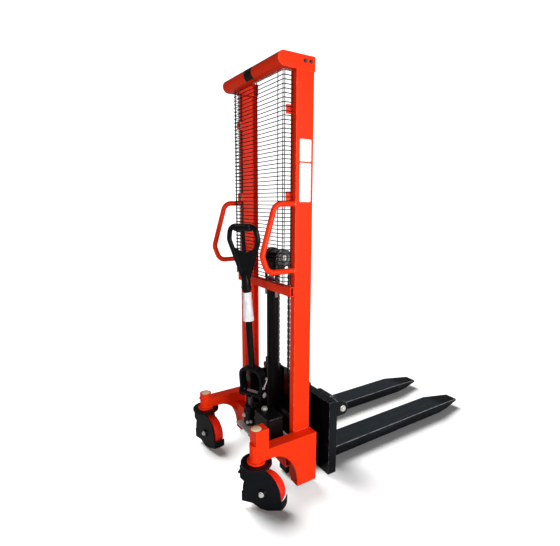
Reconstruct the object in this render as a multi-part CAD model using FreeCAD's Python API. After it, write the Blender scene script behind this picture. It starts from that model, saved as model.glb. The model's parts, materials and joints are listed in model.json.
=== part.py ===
import FreeCAD, Part
import math
import os

# Hand pallet stacker, millimetres.
# Working frame: x runs forward along the forks from the rear face of the mast posts,
# y to the left from the middle of the mast, z up from the floor.
# At the end every piece is shifted so that the origin is under the middle of the whole machine.

V = FreeCAD.Vector
ALONG_X = V(1, 0, 0)
ALONG_Y = V(0, 1, 0)
UP = V(0, 0, 1)

# Clearances
overrun = 10.0
running_gap = 0.05
moving_gap = 0.5

# Mast posts, C channels that open inwards
overall_height = 1985.0
mast_width = 534.0
post_depth = 93.0
post_flange = 36.0
post_wall = 7.0
post_foot = 23.0

# Top beam, a bent sheet with a round nose to the rear, open below between the posts
top_beam_height = 61.0
top_beam_lead = 5.0
top_beam_nose = 92.0
top_beam_wall = 5.0
top_beam_lip = 50.0
top_beam_flange = 130.0
end_plate_wall = 5.0

# Mid beam and its chain bracket
mid_beam_bottom = 944.0
mid_beam_height = 46.0
mid_beam_depth = 20.0
mid_beam_inset = 5.0
mid_beam_wall = 4.0
bracket_side_rim = 12.0
bracket_thickness = 14.0
bracket_front_rim = 10.0

# Wire mesh guard behind the mast, on tabs of the posts
mesh_bottom_gap = 5.0
mesh_top_gap = 2.0
mesh_stand_off = 46.0
mesh_wire = 4.0
mesh_rows = 52
mesh_column_shares = (-1.0, -0.79, 0.0, 0.79, 1.0)
clip_drops = (158.0, 525.0)
clip_height = 40.0
clip_reach = 30.0
clip_wall = 4.0

# Grab handles, bent tube
handle_tube = 25.0
handle_wall = 2.5
handle_bottom = 1065.0
handle_height = 300.0
handle_knee_rise = 75.0
handle_reach = 163.0
handle_top_run = 97.0
handle_bottom_run = 135.0
handle_bend = 45.0
handle_inset = 13.5

# Small bolts with round heads
bolt_head_diameter = 14.0
bolt_head_height = 6.0
top_bolt_inset = 24.0
top_bolt_spacing = 30.0
top_bolt_drop = 24.0

# Base arms, hollow boxes beside the posts
arm_width = 58.0
arm_front = 96.0
arm_depth = 50.0
arm_wall = 6.0
arch_front = -14.0
arch_rear_gap = 71.0
arch_foot = 14.0
caster_x = -222.0
housing_diameter = 62.0
housing_rise = 30.0
flange_diameter = 86.0
flange_thickness = 8.0
arm_block_length = 66.0
arm_block_tail = 16.0
arm_block_rise = 100.0
cap_diameter = 48.0
cap_height = 6.0

# Cross beam, legs and foot plate
cross_beam_depth = 45.0
cross_beam_top = 214.0
cross_beam_height = 115.0
cross_beam_wall = 6.0
leg_post_gap = 24.0
leg_width = 64.0
leg_bottom = 14.0
leg_height = 51.0
leg_wall = 6.0
leg_front = 1150.0
leg_roller_setback = 45.0
leg_roller_gap = 4.0
leg_roller_play = 1.0
leg_axle_diameter = 14.0
foot_plate_thickness = 25.0

# Lift cylinder
cylinder_diameter = 63.0
cylinder_wall = 6.5
cylinder_floor = 20.0
cylinder_rise = 41.0
gland_height = 12.0
rod_diameter = 40.0
rod_show = 28.0
piston_height = 40.0
piston_lift = 6.0

# Sheave head on the rod
sheave_lead = 28.5
sheave_rise = 70.0
sheave_pitch_radius = 38.0
sheave_flange = 8.0
sheave_flange_wall = 2.0
sheave_axle_diameter = 22.0
sheave_axle_end = 6.0
sheave_axle_head = 30.0
yoke_rim = 22.0
yoke_side_gap = 3.5

# Lift chains
chain_thickness = 10.0
chain_width = 16.0
anchor_diameter = 16.0
anchor_length = 62.0
anchor_nut = 26.0
anchor_nut_height = 12.0
anchor_gap = 5.5

# Carriage
carriage_plate_gap = 7.0
carriage_plate_height = 378.0
carriage_plate_wall = 12.0
chain_lug_reach = 10.0
chain_lug_drop = 125.0
chain_lug_height = 30.0
chain_lug_rim = 4.0
bracket_plate_gap = 16.0
bracket_plate_wall = 12.0
bracket_plate_rear = 20.0
bracket_plate_drop = 65.0
roller_width = 26.0
roller_play = 1.0
roller_pin_diameter = 25.0
roller_low_rise = 42.0
roller_high_drop = 43.0
frame_width = 644.0
frame_depth = 49.7
frame_wall = 6.0
frame_bottom = 8.0
frame_top = 397.0
frame_leg_gap = 20.0
top_bar_height = 27.0
top_bar_overhang = 3.0
side_bar_wall = 20.0
side_bar_drop = 12.0
low_bar_height = 30.0
wing_gap = 15.0
gusset_depth = 38.0
gusset_offset = 150.0
gusset_wall = 10.0

# Fork shaft and forks
shaft_reach = 37.0
shaft_drop = 51.0
shaft_diameter = 35.0
shaft_eye = 66.0
fork_gap = 0.3
fork_length = 1150.0
fork_width = 132.0
fork_leg_gap = 9.0
fork_depth = 55.0
fork_plate = 8.0
fork_side_wall = 6.0
fork_taper = 214.0
fork_tip_width = 78.0
fork_tip_drop = 25.0
fork_nose_height = 14.0
fork_nose_length = 120.0
shank_depth = 30.0
shank_width = 110.0
fork_eye = 60.0

# Casters, in their own frame: heading forward, swivel axis at the origin
caster_heading_left = -80.0
caster_heading_right = -55.0
caster_trail = 45.0
wheel_diameter = 180.0
wheel_width = 50.0
wheel_head_room = 35.0
tread_depth = 14.0
hub_diameter = 56.0
hub_web = 20.0
hub_overhang = 2.0
stem_diameter = 30.0
stem_length = 70.0
stem_end_gap = 2.5
crown_diameter = 142.0
crown_thickness = 10.0
yoke_leg_wall = 6.0
yoke_leg_gap = 3.0
yoke_leg_top = 60.0
yoke_leg_end = 22.0
caster_axle_diameter = 20.0
caster_axle_end = 5.0

# Foot guard of a caster: a side plate, a toe band round the front and a hood behind.
# The plate's outline is in shares of the wheel's radius, from the wheel's centre.
guard_wall = 3.0
guard_gap = 4.0
guard_outline_shares = (
    (-1.23, 1.24),
    (-1.23, 0.55),
    (-0.97, 0.37),
    (-0.97, 0.03),
    (-1.14, -0.19),
    (-1.14, -0.72),
    (-0.5, -0.68),
    (-0.1, -0.86),
    (0.3, -0.86),
    (1.02, -0.62),
    (1.02, -0.18),
    (0.97, 0.2),
    (0.88, 0.55),
    (0.72, 0.86),
    (0.48, 1.1),
    (0.26, 1.24),
)
toe_gap = 7.0
toe_bottom_share = -0.62
toe_top_share = -0.18
hood_front_share = -0.74
hood_bottom_share = -0.5
brake_pivot_x = -34.0
brake_pivot_drop = 23.5
brake_pin_diameter = 10.0
brake_length = 50.0
brake_pad = 16.0
brake_width = 44.0
brake_wall = 8.0
brake_drop = 30.0

# Pump group
pump_plate_rear = -150.0
pump_plate_wall = 8.0
pump_plate_left = 55.0
pump_plate_side_gap = 51.0
pump_x = -90.0
pump_length = 60.0
pump_width = 60.0
pump_height = 78.0
pump_corner = 12.0
pump_bottom_wall = 6.0
plunger_diameter = 30.0
plunger_stroke = 27.5
tank_rear = -112.0
tank_front = -18.0
tank_left = -72.0
tank_plate_margin = 4.0
tank_height = 115.0
tank_corner = 14.0
pipe_diameter = 12.0
pipe_rise = 35.0

# Tiller, in its own frame: swivel axis at the origin, heading forward, then turned
tiller_turn = 25.0
tiller_lean = 5.0
pivot_rise = 85.0
pivot_pin_diameter = 20.0
pivot_boss_diameter = 28.0
head_diameter = 60.0
head_height = 22.0
head_cheek_inner = 36.0
head_cheek_wall = 12.0
ear_gap = 10.0
ear_wall = 12.0
ear_width = 46.0
ear_foot = 64.0
crown_bottom = 128.0
crown_wall = 18.0
crown_bend = 50.0
cam_diameter = 20.0
cam_gap = 1.0
tube_diameter = 34.0
tube_wall = 3.0
tube_length = 406.0
neck_diameter = 44.0
neck_length = 76.0
loop_height = 261.0
loop_crown_height = 79.0
loop_width = 200.0
loop_top_width = 150.0
loop_tube = 24.0
loop_bend = 40.0
web_height = 143.0
web_width = 124.0
web_wall = 14.0
lever_pivot_drop = 16.0
lever_tip_gap = 7.0
lever_width = 16.0
lever_wall = 10.0
lever_pin = 8.0

# Worked out from the values above: mast
half_mast = mast_width / 2
post_top = overall_height - top_beam_height
post_inner = half_mast - post_flange
post_web = half_mast - post_wall
mesh_bottom = mid_beam_bottom + mid_beam_height + mesh_bottom_gap
mesh_top = post_top - mesh_top_gap
mesh_width = 2 * (post_inner + clip_wall + mesh_wire)
clip_heights = [post_top - drop for drop in clip_drops]
handle_y = half_mast - handle_inset
handle_top = handle_bottom + handle_height
handle_knee = handle_bottom + handle_knee_rise

# Base
flange_bottom = wheel_diameter + wheel_head_room
arm_underside = flange_bottom + flange_thickness
arm_top = arm_underside + arm_depth
arm_outer = half_mast + arm_width
arch_rear = caster_x + arch_rear_gap
arch_spring = post_foot + arch_foot
housing_top = arm_top + housing_rise
arm_block_top = arm_top + arm_block_rise
caster_y = half_mast + arm_width / 2
leg_top = leg_bottom + leg_height
leg_y = post_inner - leg_post_gap - leg_width / 2
leg_roller_x = leg_front - leg_roller_setback
leg_roller_diameter = leg_top - leg_wall - leg_roller_gap
leg_roller_width = leg_width - 2 * leg_wall - 2 * leg_roller_play
foot_plate_top = leg_top + foot_plate_thickness

# Lift
cylinder_x = post_depth / 2
cylinder_bore = cylinder_diameter - 2 * cylinder_wall
cylinder_top = mid_beam_bottom + cylinder_rise
yoke_bottom = cylinder_top + gland_height + rod_show
sheave_x = cylinder_x + sheave_lead
sheave_z = yoke_bottom + sheave_rise
sheave_offset = cylinder_diameter / 2 + anchor_nut / 2 + anchor_gap
sheave_root = sheave_pitch_radius - chain_thickness / 2
sheave_width = chain_width + 2 * sheave_flange_wall + 2 * moving_gap
yoke_half_width = sheave_offset - sheave_width / 2 - yoke_side_gap
bracket_width = 2 * (sheave_offset + anchor_nut / 2 + bracket_side_rim)
chain_front_x = sheave_x + sheave_pitch_radius
chain_rear_x = sheave_x - sheave_pitch_radius

# Carriage and forks
carriage_plate_x = chain_front_x + chain_thickness / 2 + chain_lug_reach
carriage_plate_bottom = foot_plate_top + carriage_plate_gap
carriage_plate_top = carriage_plate_bottom + carriage_plate_height
bracket_plate_top = carriage_plate_top - bracket_plate_drop
chain_lug_top = bracket_plate_top - chain_lug_drop
roller_diameter = post_depth - 2 * post_wall - roller_play
roller_y = post_web - roller_play - roller_width / 2
roller_low = carriage_plate_bottom + roller_low_rise
roller_high = bracket_plate_top - roller_high_drop
bracket_plate_outer = roller_y - roller_width / 2 - bracket_plate_gap
half_frame = frame_width / 2
frame_rear = carriage_plate_x + carriage_plate_wall + gusset_depth
frame_front = frame_rear + frame_depth
frame_clear_of_legs = leg_top + frame_leg_gap
side_bar_top = frame_top - side_bar_drop
wing_inner = leg_y + leg_width / 2 + wing_gap
fork_y = leg_y
fork_rear = frame_front + fork_gap
fork_front = fork_rear + fork_length
fork_top = leg_top + fork_leg_gap + fork_plate
fork_skirt = fork_top - fork_depth
shaft_x = fork_rear + shaft_reach
shaft_z = frame_top - shaft_drop

# Casters
wheel_radius = wheel_diameter / 2
crown_high = flange_bottom - moving_gap
crown_low = crown_high - crown_thickness
yoke_leg_inner = wheel_width / 2 + yoke_leg_gap
yoke_leg_outer = yoke_leg_inner + yoke_leg_wall
guard_side = yoke_leg_outer + guard_wall
guard_inner = wheel_radius + guard_gap
guard_outer = guard_inner + guard_wall
brake_pivot_z = crown_low - brake_pivot_drop

# Pump and tiller
pump_plate_right = pump_plate_side_gap - half_mast
tank_right = pump_plate_right + tank_plate_margin
pump_floor = cross_beam_top + pump_plate_wall
pump_top = pump_floor + pump_height
plunger_low = pump_floor + pump_bottom_wall + plunger_stroke
tank_top = pump_floor + tank_height
pipe_height = pump_floor + pipe_rise
pivot_z = pump_top + pivot_rise
pivot_forward = cam_diameter / 2 + pivot_boss_diameter / 2 + cam_gap
ear_inner = head_cheek_inner + head_cheek_wall + ear_gap
tube_top = crown_bottom + crown_wall + tube_length
neck_top = tube_top + neck_length
loop_top = neck_top + loop_height
loop_shoulder = loop_top - loop_crown_height
web_top = neck_top + web_height
lever_pivot = web_top - lever_pivot_drop
lever_top = loop_top - loop_tube - lever_tip_gap


def block(low, high):
    size = [high[i] - low[i] for i in range(3)]
    return Part.makeBox(size[0], size[1], size[2], V(*low))


def slab(points, low, high):
    # A closed outline of (x, z) points, thick from y = low to y = high.
    corners = [V(x, low, z) for x, z in points]
    face = Part.Face(Part.makePolygon(corners + corners[:1]))
    return face.extrude(V(0, high - low, 0))


def sheet(points, low, high):
    # A closed outline of (x, y) points, thick from z = low to z = high.
    corners = [V(x, y, low) for x, y in points]
    face = Part.Face(Part.makePolygon(corners + corners[:1]))
    return face.extrude(V(0, 0, high - low))


def bar(diameter, start, direction, length):
    return Part.makeCylinder(diameter / 2, length, start, direction)


def cross_bar(diameter, x, z, low, high):
    # A round bar across the machine.
    return bar(diameter, V(x, low, z), ALONG_Y, high - low)


def upright(diameter, x, y, low, high):
    return bar(diameter, V(x, y, low), UP, high - low)


def mirrored(shape):
    return shape.mirror(V(0, 0, 0), ALONG_Y)


def bent_tube(points, bend, diameter):
    # A round bar along straight runs that are joined by tangent arcs.
    edges = []
    last = points[0]
    for before, corner, after in zip(points, points[1:], points[2:]):
        back = (before - corner).normalize()
        ahead = (after - corner).normalize()
        half_turn = (math.pi - back.getAngle(ahead)) / 2
        setback = bend * math.tan(half_turn)
        start = corner + back * setback
        end = corner + ahead * setback
        middle = (back + ahead).normalize()
        mid = corner + middle * (bend / math.cos(half_turn) - bend)
        edges.append(Part.LineSegment(last, start).toShape())
        edges.append(Part.Arc(start, mid, end).toShape())
        last = end
    edges.append(Part.LineSegment(last, points[-1]).toShape())
    first_run = (points[1] - points[0]).normalize()
    section = Part.Wire(Part.makeCircle(diameter / 2, points[0], first_run))
    return Part.Wire(edges).makePipeShell([section], True, False)


def rounded_block(low, high, corner):
    # A block with its four upright edges rounded.
    solid = block(low, high)
    edges = [e for e in solid.Edges if abs(e.tangentAt(e.FirstParameter).z) == 1]
    return solid.makeFillet(corner, edges)


def arched_block(low, high, bend):
    # A block with its two upper edges along x rounded.
    solid = block(low, high)
    edges = [
        e
        for e in solid.Edges
        if abs(e.tangentAt(e.FirstParameter).x) == 1 and e.CenterOfMass.z > solid.CenterOfMass.z
    ]
    return solid.makeFillet(bend, edges)


# Mast


def mast_post():
    # A channel with the tabs that the mesh guard is bolted to.
    outside = block((0, post_inner, post_foot), (post_depth, half_mast, post_top))
    hollow = block(
        (post_wall, post_inner - overrun, post_foot - overrun),
        (post_depth - post_wall, post_web, post_top + overrun),
    )
    tab_outer = post_inner + clip_wall
    solid = outside.cut(hollow)
    for z in clip_heights:
        low = (-clip_reach, post_inner, z - clip_height / 2)
        solid = solid.fuse(block(low, (0, tab_outer, z + clip_height / 2)))
    return solid


def beam_outline(inset):
    # The top beam's section: flat in front, half round at the nose.
    low = post_top + inset
    high = overall_height - inset
    radius = (high - low) / 2
    middle = (high + low) / 2
    front = post_depth + top_beam_lead - inset
    nose = -top_beam_nose + inset
    centre = nose + radius
    edges = [
        Part.LineSegment(V(centre, 0, low), V(front, 0, low)).toShape(),
        Part.LineSegment(V(front, 0, low), V(front, 0, high)).toShape(),
        Part.LineSegment(V(front, 0, high), V(centre, 0, high)).toShape(),
        Part.Arc(V(centre, 0, high), V(nose, 0, middle), V(centre, 0, low)).toShape(),
    ]
    return Part.Face(Part.Wire(edges))


def beam_length(inset, low, high):
    face = beam_outline(inset)
    face.translate(V(0, low, 0))
    return face.extrude(V(0, high - low, 0))


def top_beam():
    end = half_mast - end_plate_wall
    outside = beam_length(0, -end, end)
    inside = beam_length(top_beam_wall, -end - overrun, end + overrun)
    front = post_depth + top_beam_lead + overrun
    below = block(
        (top_beam_lip - top_beam_nose, -post_inner, post_top - overrun),
        (front, post_inner, overall_height - top_beam_wall),
    )
    ahead = block(
        (top_beam_flange - top_beam_nose, -post_inner, post_top),
        (front, post_inner, overall_height + overrun),
    )
    return outside.cut(inside).cut(below).cut(ahead).removeSplitter()


def top_end_plates():
    left = beam_length(0, half_mast - end_plate_wall, half_mast)
    return Part.Compound([left, mirrored(left)])


def bolt_head(x, y, z):
    # A round head that stands out to the left of the face at y.
    return cross_bar(bolt_head_diameter, x, z, y, y + bolt_head_height)


def frame_bolts():
    heads = []
    bolt_z = overall_height - top_bolt_drop
    first_x = post_depth + top_beam_lead - top_bolt_inset
    for x in (first_x, first_x - top_bolt_spacing):
        head = bolt_head(x, half_mast, bolt_z)
        heads += [head, mirrored(head)]
    for z in clip_heights:
        head = bolt_head(-clip_reach / 2, post_inner - bolt_head_height, z)
        heads += [head, mirrored(head)]
    return Part.Compound(heads)


def mid_beam():
    top = mid_beam_bottom + mid_beam_height
    half = half_mast - mid_beam_inset
    tube = block((-mid_beam_depth, -half, mid_beam_bottom), (0, half, top))
    hollow = block(
        (mid_beam_wall - mid_beam_depth, -half - overrun, mid_beam_bottom + mid_beam_wall),
        (-mid_beam_wall, half + overrun, top - mid_beam_wall),
    )
    reach = cylinder_x + cylinder_diameter / 2 + bracket_front_rim
    bracket = block(
        (0, -bracket_width / 2, mid_beam_bottom),
        (reach, bracket_width / 2, mid_beam_bottom + bracket_thickness),
    )
    low = mid_beam_bottom - overrun
    high = mid_beam_bottom + bracket_thickness + overrun
    barrel_hole = upright(cylinder_diameter, cylinder_x, 0, low, high)
    solid = tube.cut(hollow).fuse(bracket).cut(barrel_hole)
    for y in (sheave_offset, -sheave_offset):
        solid = solid.cut(upright(anchor_diameter, chain_rear_x, y, low, high))
    return solid.removeSplitter()


def chain_anchor_bolts():
    # Each bolt hangs in the bracket, with a nut under it and its flat top under the chain.
    low = mid_beam_bottom + bracket_thickness - anchor_length
    high = mid_beam_bottom + bracket_thickness
    nut_low = mid_beam_bottom - anchor_nut_height
    shank = upright(anchor_diameter, chain_rear_x, sheave_offset, low, high)
    nut = upright(anchor_nut, chain_rear_x, sheave_offset, nut_low, mid_beam_bottom)
    bolt = shank.fuse(nut).removeSplitter()
    return Part.Compound([bolt, mirrored(bolt)])


def wire_grid(width, columns, low, high):
    # A flat grid in the y-z plane at x = 0, one wire thick, as one holed face.
    half_wire = mesh_wire / 2
    outer = [(-width / 2, low), (width / 2, low), (width / 2, high), (-width / 2, high)]
    rim = Part.makePolygon([V(-half_wire, y, z) for y, z in outer + outer[:1]])
    pitch = (high - low - mesh_wire) / (mesh_rows - 1)
    holes = []
    for left, right in zip(columns, columns[1:]):
        for row in range(mesh_rows - 1):
            z0 = low + mesh_wire + row * pitch
            z1 = z0 + pitch - mesh_wire
            y0 = left + half_wire
            y1 = right - half_wire
            corners = [(y0, z0), (y1, z0), (y1, z1), (y0, z1), (y0, z0)]
            holes.append(Part.makePolygon([V(-half_wire, y, z) for y, z in corners]))
    face = Part.makeFace([rim] + holes, "Part::FaceMakerCheese")
    return face.extrude(V(mesh_wire, 0, 0))


def mesh_guard():
    # A flat panel behind the mast and a narrow wing back to each post.
    half = (mesh_width - mesh_wire) / 2
    columns = [share * half for share in mesh_column_shares]
    panel = wire_grid(mesh_width, columns, mesh_bottom, mesh_top)
    panel.translate(V(-mesh_stand_off, 0, 0))
    depth = mesh_stand_off - mesh_wire / 2
    wing_half = (depth - mesh_wire) / 2
    wing = wire_grid(depth, [-wing_half, wing_half], mesh_bottom, mesh_top)
    wing.rotate(V(0, 0, 0), UP, 90)
    wing.translate(V(-depth / 2, half, 0))
    return Part.Compound([panel, wing, mirrored(wing)])


def grab_handle():
    outline = [
        (0, handle_top),
        (-handle_top_run, handle_top),
        (-handle_reach, handle_knee),
        (-handle_bottom_run, handle_bottom),
        (0, handle_bottom),
    ]
    points = [V(x, handle_y, z) for x, z in outline]
    bore = bent_tube(points, handle_bend, handle_tube - 2 * handle_wall)
    return bent_tube(points, handle_bend, handle_tube).cut(bore)


# Base


def arm_outline(inset, bottom, rear):
    # The arm seen from the side: a front leg, a wheel arch and the arm over the caster.
    front = arm_front - inset
    top = arm_top - inset
    arch_x = arch_front + inset
    under = arm_underside + inset
    across = arch_x - arch_rear
    rise = under - arch_spring
    centre = V(arch_rear, 0, arch_spring)
    if across > rise:
        ellipse = Part.Ellipse(centre + V(across, 0, 0), centre + V(0, 0, rise), centre)
        arch = ellipse.toShape(0, math.pi / 2)
    else:
        ellipse = Part.Ellipse(centre + V(0, 0, rise), centre - V(across, 0, 0), centre)
        arch = ellipse.toShape(3 * math.pi / 2, 2 * math.pi)
    corners = [
        V(arch_rear, 0, under),
        V(rear, 0, under),
        V(rear, 0, top),
        V(front, 0, top),
        V(front, 0, bottom),
        V(arch_x, 0, bottom),
        V(arch_x, 0, arch_spring),
    ]
    edges = [Part.LineSegment(a, b).toShape() for a, b in zip(corners, corners[1:])]
    return Part.Face(Part.Wire(edges + [arch]))


def arm_length(inset, bottom, rear, low, high):
    face = arm_outline(inset, bottom, rear)
    face.translate(V(0, low, 0))
    return face.extrude(V(0, high - low, 0))


def base_arm():
    outside = arm_length(0, post_foot, caster_x, half_mast, arm_outer)
    hollow_rear = caster_x + housing_diameter / 2 + arm_wall
    hollow = arm_length(
        arm_wall, post_foot - overrun, hollow_rear, half_mast + arm_wall, arm_outer - arm_wall
    )
    housing = upright(housing_diameter, caster_x, caster_y, arm_underside, housing_top)
    flange = upright(flange_diameter, caster_x, caster_y, flange_bottom, arm_underside)
    return outside.cut(hollow).fuse(housing).fuse(flange)


def stem_bore(arm):
    bore = stem_diameter + 2 * running_gap
    high = crown_high + stem_length + stem_end_gap
    return arm.cut(upright(bore, caster_x, caster_y, flange_bottom - overrun, high)).removeSplitter()


def base_arm_left():
    return stem_bore(base_arm())


def base_arm_right():
    # The right arm also carries an upright block round its caster housing.
    rear = caster_x - arm_block_tail
    low = (rear, half_mast, arm_underside)
    upright_block = block(low, (rear + arm_block_length, arm_outer, arm_block_top))
    return mirrored(stem_bore(base_arm().fuse(upright_block)))


def caster_caps():
    left = upright(cap_diameter, caster_x, caster_y, housing_top, housing_top + cap_height)
    right = upright(cap_diameter, caster_x, -caster_y, arm_block_top, arm_block_top + cap_height)
    return Part.Compound([left, right])


def cross_beam():
    low = cross_beam_top - cross_beam_height
    outside = block((-cross_beam_depth, -half_mast, low), (0, half_mast, cross_beam_top))
    hollow = block(
        (cross_beam_wall - cross_beam_depth, -half_mast - overrun, low + cross_beam_wall),
        (-cross_beam_wall, half_mast + overrun, cross_beam_top - cross_beam_wall),
    )
    return outside.cut(hollow)


def leg():
    # An inverted channel under the fork, with a roller between its walls at the front.
    half = leg_width / 2
    outside = block((0, leg_y - half, leg_bottom), (leg_front, leg_y + half, leg_top))
    inner = half - leg_wall
    hollow = block(
        (leg_wall, leg_y - inner, leg_bottom - overrun),
        (leg_front - leg_wall, leg_y + inner, leg_top - leg_wall),
    )
    front_edges = []
    solid = outside.cut(hollow)
    for edge in solid.Edges:
        box = edge.BoundBox
        if box.XMin > leg_front - leg_wall / 2 and box.ZMin > leg_top - leg_wall / 2:
            if box.YLength > inner:
                front_edges.append(edge)
    solid = solid.makeChamfer(leg_wall / 2, front_edges)
    low = leg_y - half - overrun
    high = leg_y + half + overrun
    hole = cross_bar(leg_axle_diameter, leg_roller_x, leg_roller_diameter / 2, low, high)
    return solid.cut(hole)


def leg_axles():
    half = leg_width / 2
    axle = cross_bar(
        leg_axle_diameter, leg_roller_x, leg_roller_diameter / 2, leg_y - half, leg_y + half
    )
    return Part.Compound([axle, mirrored(axle)])


def leg_roller():
    radius = leg_roller_diameter / 2
    half = leg_roller_width / 2
    low = leg_y - half
    high = leg_y + half
    roller = cross_bar(leg_roller_diameter, leg_roller_x, radius, low, high)
    bore = leg_axle_diameter + 2 * running_gap
    return roller.cut(cross_bar(bore, leg_roller_x, radius, low - overrun, high + overrun))


def mast_foot_plate():
    return block((0, -post_inner, leg_top), (post_depth, post_inner, foot_plate_top))


# Lift cylinder


def cylinder_barrel():
    outside = upright(cylinder_diameter, cylinder_x, 0, foot_plate_top, cylinder_top)
    floor = foot_plate_top + cylinder_floor
    return outside.cut(upright(cylinder_bore, cylinder_x, 0, floor, cylinder_top + overrun))


def cylinder_gland():
    high = cylinder_top + gland_height
    ring = upright(cylinder_diameter, cylinder_x, 0, cylinder_top, high)
    hole = rod_diameter + 2 * running_gap
    return ring.cut(upright(hole, cylinder_x, 0, cylinder_top - overrun, high + overrun))


def piston_rod():
    low = foot_plate_top + cylinder_floor + piston_lift
    piston = cylinder_bore - 2 * running_gap
    rod = upright(rod_diameter, cylinder_x, 0, low, yoke_bottom)
    return rod.fuse(upright(piston, cylinder_x, 0, low, low + piston_height)).removeSplitter()


def sheave_yoke():
    rear = cylinder_x - rod_diameter / 2
    front = sheave_x + yoke_rim
    high = sheave_z + yoke_rim
    outline = [
        (rear, yoke_bottom),
        (front, yoke_bottom),
        (front, high - yoke_rim / 2),
        (front - yoke_rim / 2, high),
        (sheave_x - yoke_rim / 2, high),
        (rear, sheave_z - yoke_rim),
    ]
    solid = slab(outline, -yoke_half_width, yoke_half_width)
    return solid.cut(
        cross_bar(
            sheave_axle_diameter,
            sheave_x,
            sheave_z,
            -yoke_half_width - overrun,
            yoke_half_width + overrun,
        )
    )


def sheave_axle():
    end = sheave_offset + sheave_width / 2 + moving_gap
    axle = cross_bar(sheave_axle_diameter, sheave_x, sheave_z, -end, end)
    for low in (-end - sheave_axle_end, end):
        axle = axle.fuse(cross_bar(sheave_axle_head, sheave_x, sheave_z, low, low + sheave_axle_end))
    return axle.removeSplitter()


def sheave():
    # A grooved wheel: two flanges beside the root that the chain rides on.
    low = sheave_offset - sheave_width / 2
    high = sheave_offset + sheave_width / 2
    rim = 2 * (sheave_pitch_radius + sheave_flange)
    solid = cross_bar(rim, sheave_x, sheave_z, low, high)
    groove_low = low + sheave_flange_wall
    groove_high = high - sheave_flange_wall
    root = 2 * (sheave_root - moving_gap)
    groove = cross_bar(rim + overrun, sheave_x, sheave_z, groove_low, groove_high)
    solid = solid.cut(groove.cut(cross_bar(root, sheave_x, sheave_z, groove_low, groove_high)))
    bore = sheave_axle_diameter + 2 * running_gap
    return solid.cut(cross_bar(bore, sheave_x, sheave_z, low - overrun, high + overrun))


# Lift chains


def chain_run(x, low, high):
    half = chain_width / 2
    half_thickness = chain_thickness / 2
    left = block(
        (x - half_thickness, sheave_offset - half, low),
        (x + half_thickness, sheave_offset + half, high),
    )
    return Part.Compound([left, mirrored(left)])


def chain_rear_runs():
    return chain_run(chain_rear_x, mid_beam_bottom + bracket_thickness, sheave_z)


def chain_front_runs():
    return chain_run(chain_front_x, chain_lug_top, sheave_z)


def chain_wraps():
    half = chain_width / 2
    low = sheave_offset - half
    high = sheave_offset + half
    outer = 2 * (sheave_root + chain_thickness)
    ring = cross_bar(outer, sheave_x, sheave_z, low, high)
    ring = ring.cut(cross_bar(2 * sheave_root, sheave_x, sheave_z, low - overrun, high + overrun))
    reach = outer / 2 + overrun
    upper = block(
        (sheave_x - reach, low - overrun, sheave_z), (sheave_x + reach, high + overrun, sheave_z + reach)
    )
    left = ring.common(upper)
    return Part.Compound([left, mirrored(left)])


# Carriage


def carriage_plate():
    # Back plate, two roller brackets with stub axles in the mast, and two chain lugs.
    outer = bracket_plate_outer
    front = carriage_plate_x + carriage_plate_wall
    solid = block(
        (carriage_plate_x, -outer, carriage_plate_bottom), (front, outer, carriage_plate_top)
    )
    bracket = block(
        (bracket_plate_rear, outer - bracket_plate_wall, carriage_plate_bottom),
        (carriage_plate_x, outer, bracket_plate_top),
    )
    half = chain_width / 2 + chain_lug_rim
    lug = block(
        (chain_front_x - chain_thickness / 2, sheave_offset - half, chain_lug_top - chain_lug_height),
        (carriage_plate_x, sheave_offset + half, chain_lug_top),
    )
    pins = [
        cross_bar(roller_pin_diameter, cylinder_x, z, outer, roller_y + roller_width / 2)
        for z in (roller_low, roller_high)
    ]
    for piece in [bracket, lug] + pins:
        solid = solid.fuse(piece).fuse(mirrored(piece))
    return solid.removeSplitter()


def carriage_roller(z):
    low = roller_y - roller_width / 2
    high = roller_y + roller_width / 2
    roller = cross_bar(roller_diameter, cylinder_x, z, low, high)
    bore = roller_pin_diameter + 2 * running_gap
    return roller.cut(cross_bar(bore, cylinder_x, z, low - overrun, high + overrun))


def carriage_frame():
    inner = half_frame - side_bar_wall
    face_front = frame_rear + frame_wall
    face = block((frame_rear, -inner, frame_clear_of_legs), (face_front, inner, side_bar_top))
    top_bar = block(
        (frame_rear - top_bar_overhang, -half_frame, frame_top - top_bar_height),
        (frame_front - top_bar_overhang, half_frame, frame_top),
    )
    low_bar = block(
        (face_front, -inner, frame_clear_of_legs),
        (frame_front, inner, frame_clear_of_legs + low_bar_height),
    )
    wing = block((frame_rear, wing_inner, frame_bottom), (face_front, inner, frame_clear_of_legs))
    sill = block(
        (face_front, wing_inner, frame_bottom), (frame_front, inner, frame_bottom + frame_wall)
    )
    side_bar = block((frame_rear, inner, frame_bottom), (frame_front, half_frame, side_bar_top))
    eye = cross_bar(shaft_eye, shaft_x, shaft_z, inner, half_frame)
    eye_arm = block(
        (frame_front - side_bar_wall, inner, shaft_z - shaft_eye / 2),
        (shaft_x, half_frame, shaft_z + shaft_eye / 2),
    )
    gusset = block(
        (carriage_plate_x + carriage_plate_wall, gusset_offset, carriage_plate_bottom),
        (frame_rear, gusset_offset + gusset_wall, side_bar_top),
    )
    solid = face.fuse([top_bar, low_bar])
    for piece in (wing, sill, side_bar, eye, eye_arm, gusset):
        solid = solid.fuse(piece).fuse(mirrored(piece))
    low = -half_frame - overrun
    hole = cross_bar(shaft_diameter, shaft_x, shaft_z, low, -low)
    return solid.cut(hole).removeSplitter()


def fork_shaft():
    return cross_bar(shaft_diameter, shaft_x, shaft_z, -half_frame, half_frame)


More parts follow.
